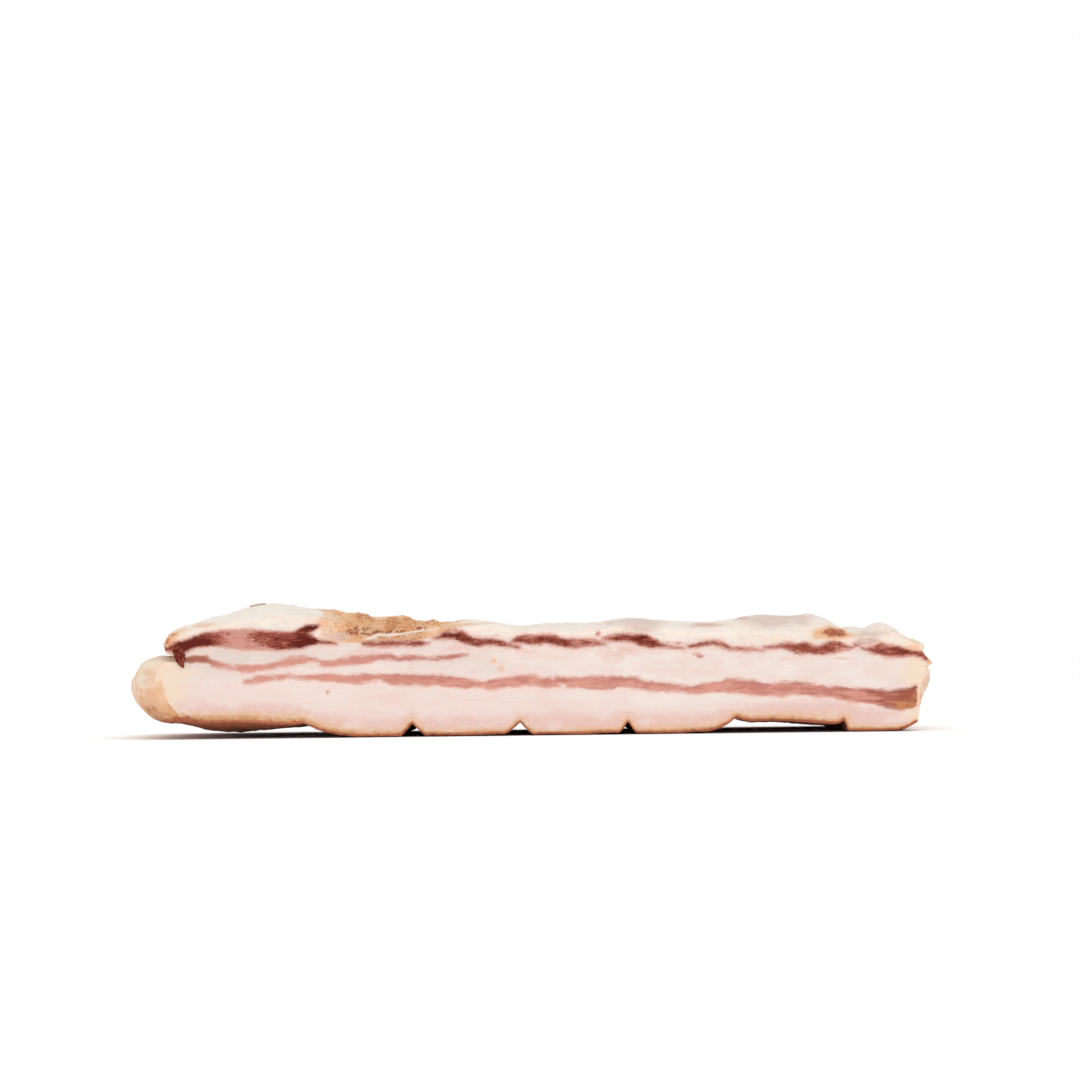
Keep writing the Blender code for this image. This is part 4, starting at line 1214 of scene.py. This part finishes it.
def belly_material(fat, lean, crust):
    """The slab's one material, laid in the order in which the tissues cover each other."""
    material, wires, shader = new_material("cured_belly")
    place = wires.millimetres()
    fine = wires.cloud(place, 1.1, 3.0, 0.6)
    patch = wires.cloud(place, 4.5, 3.0, 0.55, (0.5, 0.6, 1.0))
    mottle = wires.cloud(place, 2.8, 4.0, 0.6, (0.6, 0.6, 1.0))
    strands = wires.cloud(place, 1.3, 4.0, 0.65, (0.34, 0.5, 1.0), 0.4)
    tears = wires.cloud(place, 1.0, 3.0, 0.6, (0.3, 0.6, 1.0), 0.6)
    ragged = wires.add(wires.swing(patch, 0.9), wires.swing(fine, 0.45))

    skin_side = wires.step(wires.attribute("behind_cut"), 0.15, 1.1)
    near_top = wires.step(wires.add(wires.attribute("above_dark"), ragged), 0.6, 3.2)
    outer = wires.maths("MAXIMUM", skin_side, near_top)
    finish = wires.cover(outer, cut_fat(wires, place, fat), flesh_side_fat(wires, place, fat))

    aged = wires.attribute("aged")
    dry = wires.step(wires.add(wires.times(aged, skin_side), wires.swing(patch, 0.5)), 0.7, 1.3)
    uneven = wires.add(1.0, wires.swing(patch, 0.3), wires.swing(mottle, 0.4))
    film = wires.times(wires.attribute("membrane"), uneven)
    rosy_film = wires.add(wires.attribute("rosy_film"), wires.swing(patch, 0.25), wires.swing(fine, 0.15))
    rim = wires.times(wires.ridge(film, 0.3, 0.56), 0.16)
    rim = wires.maths("MAXIMUM", rim, wires.step(rosy_film, 0.35, 0.9))
    finish = wires.tint(
        finish,
        (wires.step(wires.add(aged, wires.swing(patch, 0.3)), 0.12, 0.95, 0.0, 0.9), fat.aged),
        (wires.times(dry, 0.7), fat.peach),
        (wires.times(wires.step(film, 0.0, 1.1), near_top, 0.8), fat.film),
        (wires.times(rim, near_top, 0.6), fat.film_edge),
    )

    pale_depth = wires.add(wires.attribute("pale_lean"), wires.swing(patch, 0.6), wires.swing(strands, 0.75))
    dark_depth = wires.add(wires.attribute("dark_lean"), wires.swing(patch, 0.45), wires.swing(strands, 0.4))
    dark_depth = wires.add(dark_depth, 0.15, wires.swing(fine, 0.3))
    halo = wires.maths("MAXIMUM", wires.step(dark_depth, -2.6, 0.1), wires.step(pale_depth, -1.6, 0.1))
    halo = wires.times(halo, wires.step(near_top, 0.1, 1.0, 0.5, 0.2))
    uneven = wires.add(1.0, wires.swing(patch, 0.6), wires.swing(fine, 0.6))
    torn = wires.times(wires.attribute("torn"), uneven)
    finish = wires.tint(
        finish,
        (halo, fat.rosy),
        (wires.times(wires.step(torn, 0.04, 0.4), 0.8), fat.peach),
    )
    crusted = wires.times(wires.step(torn, 0.42, 0.9), wires.step(dark_depth, 0.1, -0.4))
    finish = wires.cover(crusted, finish, torn_crust(wires, place, crust))

    finish = wires.cover(wires.step(pale_depth, -0.75, 0.8), finish, pale_lean(wires, place, lean))
    finish = wires.tint(finish, (wires.step(dark_depth, -1.1, 0.2, 0.0, 0.75), lean.streak))
    finish = wires.cover(wires.step(dark_depth, -0.4, 0.8), finish, dark_lean(wires, place, lean))

    shown = wires.times(wires.step(wires.attribute("show_through"), -2.6, 0.5), wires.step(patch, 0.45, 0.6))
    lip = wires.add(wires.attribute("lip"), wires.swing(tears, 1.5), wires.swing(patch, 0.3))
    mottled = wires.add(1.0, wires.swing(fine, 0.4), wires.swing(patch, 0.3), wires.swing(mottle, 0.6))
    dried = wires.times(wires.attribute("dried"), mottled)
    speck = wires.times(wires.attribute("speck"), mottled)
    burnt = wires.step(wires.add(mottle, wires.swing(fine, 0.7)), 0.44, 0.7, 0.0, 0.7)
    finish = wires.tint(
        finish,
        (wires.times(shown, skin_side, 0.36), lean.rose),
        (wires.step(wires.attribute("pit"), 0.1, 0.8, 0.0, 0.85), crust.pore),
        (wires.times(wires.step(lip, -0.2, 0.4), 0.85), crust.lip),
        (wires.step(dried, 0.12, 0.45, 0.0, 0.85), fat.peach),
        (wires.step(dried, 0.42, 0.8, 0.0, 0.8), crust.torn),
        (wires.step(dried, 0.66, 1.2, 0.0, 0.9), wires.blend(burnt, lean.medium, crust.torn_dark)),
        (wires.step(speck, 0.08, 0.45, 0.0, 0.8), fat.rosy),
        (wires.step(speck, 0.4, 0.9, 0.0, 0.8), lean.streak),
        (wires.step(speck, 0.75, 1.3, 0.0, 0.7), lean.medium),
    )

    rind_edge = wires.add(wires.attribute("rind_depth"), wires.swing(fine, 0.6), wires.swing(patch, 0.4))
    finish = wires.cover(wires.step(rind_edge, 1.9, 0.5), finish, rind_finish(wires, place, crust))
    connect_finish(wires, shader, finish, 0.5, 1.6)
    return material


def geometry_tree(name, inputs):
    """An empty geometry tree with named inputs, its wiring and its ends."""
    tree = bpy.data.node_groups.new(name, "GeometryNodeTree")
    tree.interface.new_socket("Geometry", in_out="INPUT", socket_type="NodeSocketGeometry")
    for label, kind, value in inputs:
        socket = tree.interface.new_socket(label, in_out="INPUT", socket_type="NodeSocket" + kind)
        if value is not None:
            socket.default_value = value
    tree.interface.new_socket("Geometry", in_out="OUTPUT", socket_type="NodeSocketGeometry")
    wires = Wiring(tree)
    given = wires.node("NodeGroupInput").outputs
    result = wires.node("NodeGroupOutput").inputs
    return tree, wires, given, result


def hand_over(wires, geometry, material, result):
    """Realizes what a tree has made, and gives it its material."""
    dress = {"Geometry": wires.realized(geometry), "Material": material}
    wires.feed(result[0], wires.node("GeometryNodeSetMaterial", dress).outputs[0])


def block_tree():
    """A closed block of even cells, from 0 to 1 each way."""
    counts = ("Columns", "Rings", "Rows")
    inputs = [(label, "Int", 50) for label in counts] + [("Finish", "Material", None)]
    tree, wires, given, result = geometry_tree("Block of cells", inputs)
    sides = {"Vertices " + axis: given[label] for axis, label in zip("XYZ", counts)}
    cube = wires.node("GeometryNodeMeshCube", sides).outputs[0]
    hand_over(wires, wires.moved(cube, (0.5, 0.5, 0.5)), given["Finish"], result)
    return tree


def relief_tree():
    """Fine relief along the surface's normal: sunken lean, grain, crags and pores, films and creases."""
    inputs = [(size, "Float", 0.0005) for size in RELIEF_SIZES] + [("Finish", "Material", None)]
    tree, wires, given, result = geometry_tree("Fine relief", inputs)
    place = wires.millimetres()
    behind = wires.attribute("behind_cut")
    on_cut = wires.step(behind, 1.2, 0.2)
    outside = wires.step(behind, 0.4, 2.0)
    lean = wires.maths("MAXIMUM", wires.attribute("dark_lean"), wires.attribute("pale_lean"))
    fibres = wires.cloud(place, 1.6, 3.0, 0.6, (0.25, 0.5, 1.0))
    sunk = wires.times(wires.step(lean, -0.5, 0.7), on_cut, wires.add(fibres, 0.5), given["Lean sunk"])
    grain = wires.swing(wires.cloud(place, 3.0, 4.0, 0.6), 1.0)
    grain = wires.times(wires.add(grain, wires.swing(wires.cloud(place, 14.0), 2.0)), given["Cut grain"])

    torn = wires.attribute("torn")
    lumps = wires.swing(wires.cloud(place, 4.2, 4.0, 0.65), 0.9)
    lumps = wires.add(lumps, wires.swing(wires.cells(place, 2.2), -0.5))
    crags = wires.times(lumps, wires.times(torn, wires.step(behind, 0.5, 3.0)), given["Crag height"])
    holes = wires.add(wires.cells(place, 1.9), wires.swing(wires.cloud(place, 1.7, 3.0, 0.6), 0.5))
    pit = wires.times(wires.step(holes, 0.7, 0.3), wires.step(wires.attribute("porous"), 0.08, 0.42))
    pores = wires.times(pit, wires.step(behind, 0.3, 1.4), given["Pore depth"])
    ragged = wires.cloud(place, 1.4, 3.0, 0.6)
    lip = wires.times(wires.step(wires.attribute("lip"), -0.5, 0.3), ragged, given["Lip height"])

    skin = wires.times(wires.step(wires.attribute("rind_depth"), 1.6, 0.2), outside)
    creases = wires.swing(wires.cloud(place, 4.5, 4.0, 0.6, (1.0, 0.4, 1.0), 1.0), 1.2)
    creases = wires.times(creases, skin, given["Rind wrinkle"])

    folds = wires.cloud(place, 7.0, 4.0, 0.6, (0.55, 1.0, 0.8), 0.8)
    veins = wires.ridge(wires.cloud(place, 9.0, 2.0, 0.5, (0.5, 1.0, 1.0), 0.5), 0.44, 0.56)
    film = wires.add(wires.swing(folds, 1.6), wires.times(veins, 0.7))
    film = wires.add(film, wires.step(wires.attribute("membrane"), 0.44, 0.62, 0.0, 0.7))
    film = wires.times(film, outside, wires.maths("SUBTRACT", 1.0, torn), given["Film wrinkle"])
    film = wires.times(film, wires.maths("SUBTRACT", 1.0, skin))

    lift = wires.add(grain, crags, lip, film, creases)
    lift = wires.maths("SUBTRACT", lift, wires.add(sunk, pores))
    keep = {"Geometry": given["Geometry"], "Name": "pit", "Value": pit}
    marked = wires.node("GeometryNodeStoreNamedAttribute", keep, data_type="FLOAT", domain="POINT").outputs[0]
    hand_over(wires, wires.pushed_out(marked, lift), given["Finish"], result)
    return tree


def run_tree(host, tree, values, name):
    """The plain mesh that a tree makes of its host, with the tree's inputs set by their names."""
    modifier = host.modifiers.new(tree.name, "NODES")
    modifier.node_group = tree
    for item in tree.interface.items_tree:
        if item.in_out == "INPUT" and item.name in values:
            modifier[item.identifier] = values[item.name]
    depsgraph = bpy.context.evaluated_depsgraph_get()
    evaluated = host.evaluated_get(depsgraph)
    mesh = bpy.data.meshes.new_from_object(evaluated, preserve_all_data_layers=True, depsgraph=depsgraph)
    host.modifiers.remove(modifier)
    mesh.name = name
    return mesh


def new_object(name, mesh):
    made = bpy.data.objects.new(name, mesh)
    bpy.context.scene.collection.objects.link(made)
    return made


def tree_values(group, labels, material):
    """A tree's inputs: the settings that go by the same names, and the finish."""
    values = {label: getattr(group, label.lower().replace(" ", "_")) for label in labels}
    values["Finish"] = material
    return values


def vertex_places(mesh):
    places = array("f", bytes(12 * len(mesh.vertices)))
    mesh.vertices.foreach_get("co", places)
    return places


def bend_block(mesh, net):
    """Moves the block's points to their places on the slab, and stores what each one carries."""
    places = vertex_places(mesh)
    painted = defaultdict(lambda: array("f", bytes(4 * len(mesh.vertices))))
    spans = (len(net.columns) - 1, len(net.rings) - 1, len(net.rows) - 1)
    for index in range(len(mesh.vertices)):
        first = 3 * index
        i, j, k = (round(places[first + axis] * span) for axis, span in enumerate(spans))
        place = net.point(i, j, k)
        places[first : first + 3] = array("f", [value * MM for value in place[:3]])
        for name, value in paint_point(net, i, j, k, place).items():
            painted[name][index] = value
    mesh.vertices.foreach_set("co", places)
    for name, values in painted.items():
        mesh.attributes.new(name, "FLOAT", "POINT").data.foreach_set("value", values)
    mesh.update()


def settle_in_box(mesh):
    """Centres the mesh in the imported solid's box, and stands it on that box's floor."""
    low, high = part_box(NODE)
    places = vertex_places(mesh)
    move = [(low[axis] + high[axis] - min(places[axis::3]) - max(places[axis::3])) / 2 for axis in range(2)]
    move.append(low.z - min(places[2::3]))
    mesh.transform(Matrix.Translation(move))
    return Vector(move)


def built_slab():
    slab = bpy.data.objects.get(SLAB)
    if slab is None:
        raise RuntimeError("the slab is built before what lies on it")
    return slab


def build_slab(settings):
    sizes = settings.belly_sizes
    material = belly_material(settings.belly_fat, settings.belly_lean, settings.belly_crust)
    net = Net(sizes.edge_radius / MM)
    slab = new_object(SLAB, bpy.data.meshes.new("empty_host"))
    counts = {"Columns": len(net.columns), "Rings": len(net.rings), "Rows": len(net.rows), "Finish": material}
    slab.data = run_tree(slab, block_tree(), counts, "cured_belly_block")
    bend_block(slab.data, net)
    slab.data = run_tree(slab, relief_tree(), tree_values(sizes, RELIEF_SIZES, material), SLAB)
    slab["settled"] = settle_in_box(slab.data)
    slab.data.shade_smooth()
    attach(slab, "root")
    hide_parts(NODE)


def crumb_tree():
    """Small rough grains strewn over the torn crust."""
    inputs = [(label, "Float", 0.001) for label in CRUMB_SIZES]
    inputs += [("Seed", "Int", 7), ("Finish", "Material", None)]
    tree, wires, given, result = geometry_tree("Crumbs", inputs)
    seed = given["Seed"]
    torn = wires.step(wires.attribute("torn"), 0.45, 0.95)
    bare = wires.step(wires.attribute("dark_lean"), -0.2, -1.0)
    patches = wires.step(wires.cloud(wires.millimetres(), 3.5, 3.0), 0.4, 0.62)
    per_area = wires.maths("DIVIDE", 1.0, wires.times(given["Spacing"], given["Spacing"]))
    density = wires.times(torn, bare, patches, per_area)
    strew = {"Mesh": given["Geometry"], "Density": density, "Seed": seed}
    points = wires.node("GeometryNodeDistributePointsOnFaces", strew).outputs["Points"]
    grain = wires.node("GeometryNodeMeshIcoSphere", {"Radius": 1.0, "Subdivisions": 2}).outputs[0]
    sizes = {2: given["Smallest"], 3: given["Largest"], 8: seed}
    size = wires.node("FunctionNodeRandomValue", sizes, data_type="FLOAT").outputs[1]
    turn = wires.random_vector((0.0, 0.0, 0.0), (FULL_TURN,) * 3, seed)
    scale = wires.scaled(wires.random_vector(*CRUMB_SHAPES, seed), size)
    lay = {"Points": points, "Instance": grain, "Rotation": turn, "Scale": scale}
    crumbs = wires.realized(wires.node("GeometryNodeInstanceOnPoints", lay).outputs[0])
    rough = wires.swing(wires.cloud(wires.millimetres(), 0.5, 2.0), 1.0)
    crumbs = wires.pushed_out(crumbs, wires.times(rough, given["Smallest"]))
    hand_over(wires, crumbs, given["Finish"], result)
    return tree


def crumb_material(crust):
    material, wires, shader = new_material("torn_crumb")
    place = wires.millimetres()
    patch = wires.cloud(place, 2.2, 2.0)
    fine = wires.cloud(place, 0.5, 3.0)
    tone = wires.add(wires.swing(patch, 0.9), wires.swing(fine, 0.5), 0.6)
    colour = wires.ramp(tone, ((0.0, crust.torn_dark), (0.45, crust.torn), (1.0, crust.torn_light)))
    finish = Finish(colour, wires.add(0.6, wires.times(fine, 0.2)), wires.times(fine, 0.2))
    connect_finish(wires, shader, finish, 0.3, 0.8)
    return material


def build_crumbs(settings):
    crumbs = settings.belly_crumbs
    piece = new_object("torn_crumbs", built_slab().data.copy())
    values = tree_values(crumbs, (*CRUMB_SIZES, "Seed"), crumb_material(settings.belly_crust))
    piece.data = run_tree(piece, crumb_tree(), values, "torn_crumbs")
    piece.data.shade_smooth()
    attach(piece, "root")


def along_scrap(stations, t):
    """A smooth value along a scrap's stations, for t from 0 to 1. Each station is a tuple of numbers."""
    place = t * (len(stations) - 1)
    i = min(int(place), len(stations) - 2)
    return curve_along(stations, i, place - i)


def add_scrap(block, stations, upward, pattern):
    """A torn strip with a rounded section. Stations are X, Y, height, half width and half thickness."""
    rings = []
    for step in range(SCRAP_RINGS + 1):
        t = step / SCRAP_RINGS
        x, y, z, wide, thick = along_scrap(stations, t)
        ahead = along_scrap(stations, min(t + SCRAP_LOOK, 1.0))
        before = along_scrap(stations, max(t - SCRAP_LOOK, 0.0))
        along = (Vector(ahead[:3]) - Vector(before[:3])).normalized()
        across = along.cross(Vector(upward)).normalized()
        normal = across.cross(along)
        full = max(math.sin(math.pi * mix(*SCRAP_TAPER, t)) ** 0.5, SCRAP_LEAST)
        ring = []
        for turn in range(SCRAP_SIDES):
            angle = 2 * math.pi * turn / SCRAP_SIDES
            around = math.cos(angle) + pattern
            rough = 1 + SCRAP_ROUGHNESS * unrest(around, SCRAP_KNOTS * t, math.sin(angle))
            out = across * math.cos(angle) * wide + normal * math.sin(angle) * thick
            ring.append(block.verts.new((Vector((x, y, z)) + out * full * rough) * MM))
        rings.append(ring)
    for a, b in zip(rings, rings[1:]):
        for i in range(SCRAP_SIDES):
            j = (i + 1) % SCRAP_SIDES
            block.faces.new((a[i], a[j], b[j], b[i]))
    block.faces.new(list(reversed(rings[0])))
    block.faces.new(rings[-1])


def scraps_piece(name, material, scraps, upward):
    """One piece of several scraps, set on the slab."""
    slab = built_slab()
    block = bmesh.new()
    for number, stations in enumerate(scraps):
        add_scrap(block, stations, upward, SCRAP_PATTERN * number)
    bmesh.ops.recalc_face_normals(block, faces=block.faces[:])
    bmesh.ops.translate(block, vec=Vector(slab["settled"]), verts=block.verts[:])
    mesh = bpy.data.meshes.new(name)
    block.to_mesh(mesh)
    block.free()
    mesh.materials.append(material)
    mesh.shade_smooth()
    piece = new_object(name, mesh)
    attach(piece, "root")


def scrap_material(name, base, light, dark, size, stretch=(0.6, 0.6, 1.0)):
    """A dried scrap in two tones, with fine streaks."""
    material, wires, shader = new_material(name)
    place = wires.millimetres()
    streaks = wires.cloud(place, size, 4.0, 0.65, stretch)
    fine = wires.cloud(place, 0.4, 3.0)
    tone = wires.add(wires.swing(streaks, 1.2), wires.swing(fine, 0.5), 0.5)
    colour = wires.ramp(tone, ((0.0, dark), (0.4, base), (0.7, base), (1.0, light)))
    height = wires.add(wires.times(streaks, 0.15), wires.times(fine, 0.1))
    connect_finish(wires, shader, Finish(colour, wires.add(0.5, wires.times(fine, 0.2)), height), 0.2, 0.8)
    return material


def build_shred(settings):
    lean = settings.belly_lean
    material = scrap_material("dried_shred", lean.deep, lean.medium, lean.deep, 0.8, (1.0, 1.0, 0.3))
    scraps_piece("cleft_shred", material, CLEFT_SHREDS, FORWARD)


def crest_place(x):
    """Y of the highest line on the top, as seen from in front."""
    places = [step - DEPTH / 2 for step in range(CREST_REACH)]
    return max(places, key=lambda y: top_height(x, y) - CREST_VIEW * behind_front(y))


def build_flakes(settings):
    fat, crust = settings.belly_fat, settings.belly_crust
    grey = scrap_material("dried_flake", fat.film_edge, fat.film, crust.rind_dark, 1.5)
    flakes = []
    for x, length, wide, thick, turn in TOP_FLAKES:
        y = crest_place(x)
        run, aside = length * math.cos(turn) / 2, length * math.sin(turn) / 2
        places = [(x + run * share, y + aside * share) for share in FLAKE_STATIONS]
        flakes.append([(a, b, top_height(a, b) + thick * FLAKE_LIFT, wide, thick) for a, b in places])
    scraps_piece("top_flakes", grey, flakes, UPWARD)
    pale = scrap_material("lip_shred", crust.lip, crust.lip, crust.torn_light, 1.2)
    scraps_piece("lip_shreds", pale, LIP_SHREDS, FORWARD)


def add_floor(stage):
    half = stage.floor_size / 2
    corners = [(-half, -half, 0.0), (half, -half, 0.0), (half, half, 0.0), (-half, half, 0.0)]
    mesh = bpy.data.meshes.new("floor")
    mesh.from_pydata(corners, [], [(0, 1, 2, 3)])
    material, _, shader = new_material("pale_floor")
    shader.inputs["Base Color"].default_value = (*stage.floor, 1.0)
    shader.inputs["Roughness"].default_value = 0.9
    shader.inputs["Specular IOR Level"].default_value = 0.1
    mesh.materials.append(material)
    floor = new_object("floor", mesh)


def add_light(name, place, target, size, power):
    """A rectangular light at a place, aimed at its target."""
    light = bpy.data.lights.new(name, "AREA")
    light.shape = "RECTANGLE"
    light.size, light.size_y = size
    light.energy = power
    made = new_object(name, light)
    made.location = place
    aim = Vector(target) - Vector(place)
    made.rotation_euler = aim.to_track_quat("-Z", "Y").to_euler()


def build_stage(settings):
    stage = settings.belly_stage
    add_floor(stage)
    world = bpy.data.worlds.new("white_room")
    world.use_nodes = True
    room = world.node_tree.nodes["Background"]
    room.inputs["Color"].default_value = (1.0, 1.0, 1.0, 1.0)
    room.inputs["Strength"].default_value = stage.sky
    bpy.context.scene.world = world
    add_light("main_light", *MAIN_LIGHT, stage.key)
    add_light("front_light", *FRONT_LIGHT, stage.fill)
    camera = bpy.data.cameras.new("camera")
    camera.lens = stage.lens
    camera.sensor_width = 36.0
    camera.clip_end = 50.0
    made = new_object("camera", camera)
    made.location = (stage.aside, -stage.distance, stage.height)
    made.rotation_euler = (math.pi / 2 + stage.pitch, stage.roll, 0.0)
    bpy.context.scene.camera = made
    bpy.context.scene.view_settings.view_transform = "Standard"


class BELLY_OT_slab(bpy.types.Operator):
    """Builds the slab with its rind, fat, lean and torn crust"""

    bl_idname = "belly.slab"
    bl_label = "Slab"

    def execute(self, context):
        build_slab(context.scene)
        return {"FINISHED"}


class BELLY_OT_crumbs(bpy.types.Operator):
    """Strews crumbs over the torn crust"""

    bl_idname = "belly.crumbs"
    bl_label = "Crumbs"

    def execute(self, context):
        build_crumbs(context.scene)
        return {"FINISHED"}


class BELLY_OT_scraps(bpy.types.Operator):
    """Lays the shred in the cleft, the flakes on the top and the shreds along the lip"""

    bl_idname = "belly.scraps"
    bl_label = "Scraps"

    def execute(self, context):
        build_shred(context.scene)
        build_flakes(context.scene)
        return {"FINISHED"}


class BELLY_OT_stage(bpy.types.Operator):
    """Sets the floor, the light and the camera"""

    bl_idname = "belly.stage"
    bl_label = "Stage"

    def execute(self, context):
        build_stage(context.scene)
        return {"FINISHED"}


class BELLY_PT_panel(bpy.types.Panel):
    """Lists the slab's pieces and what can be changed about them"""

    bl_idname = "BELLY_PT_panel"
    bl_label = "Cured Belly Slab"
    bl_space_type = "VIEW_3D"
    bl_region_type = "UI"
    bl_category = "Cured Belly"

    def draw(self, context):
        for operator in OPERATORS:
            self.layout.operator(operator.bl_idname)
        for key, group in GROUPS.items():
            box = self.layout.box()
            for name in group.__annotations__:
                box.prop(getattr(context.scene, key), name)


OPERATORS = (BELLY_OT_slab, BELLY_OT_crumbs, BELLY_OT_scraps, BELLY_OT_stage)


def register():
    for cls in (*GROUPS.values(), *OPERATORS, BELLY_PT_panel):
        bpy.utils.register_class(cls)
    for key, group in GROUPS.items():
        setattr(bpy.types.Scene, key, PointerProperty(type=group))


def unregister():
    for key in GROUPS:
        delattr(bpy.types.Scene, key)
    for cls in reversed((*GROUPS.values(), *OPERATORS, BELLY_PT_panel)):
        bpy.utils.unregister_class(cls)


def main():
    register()
    bpy.ops.belly.slab()
    bpy.ops.belly.crumbs()
    bpy.ops.belly.scraps()
    bpy.ops.belly.stage()


if __name__ == "__main__":
    main()
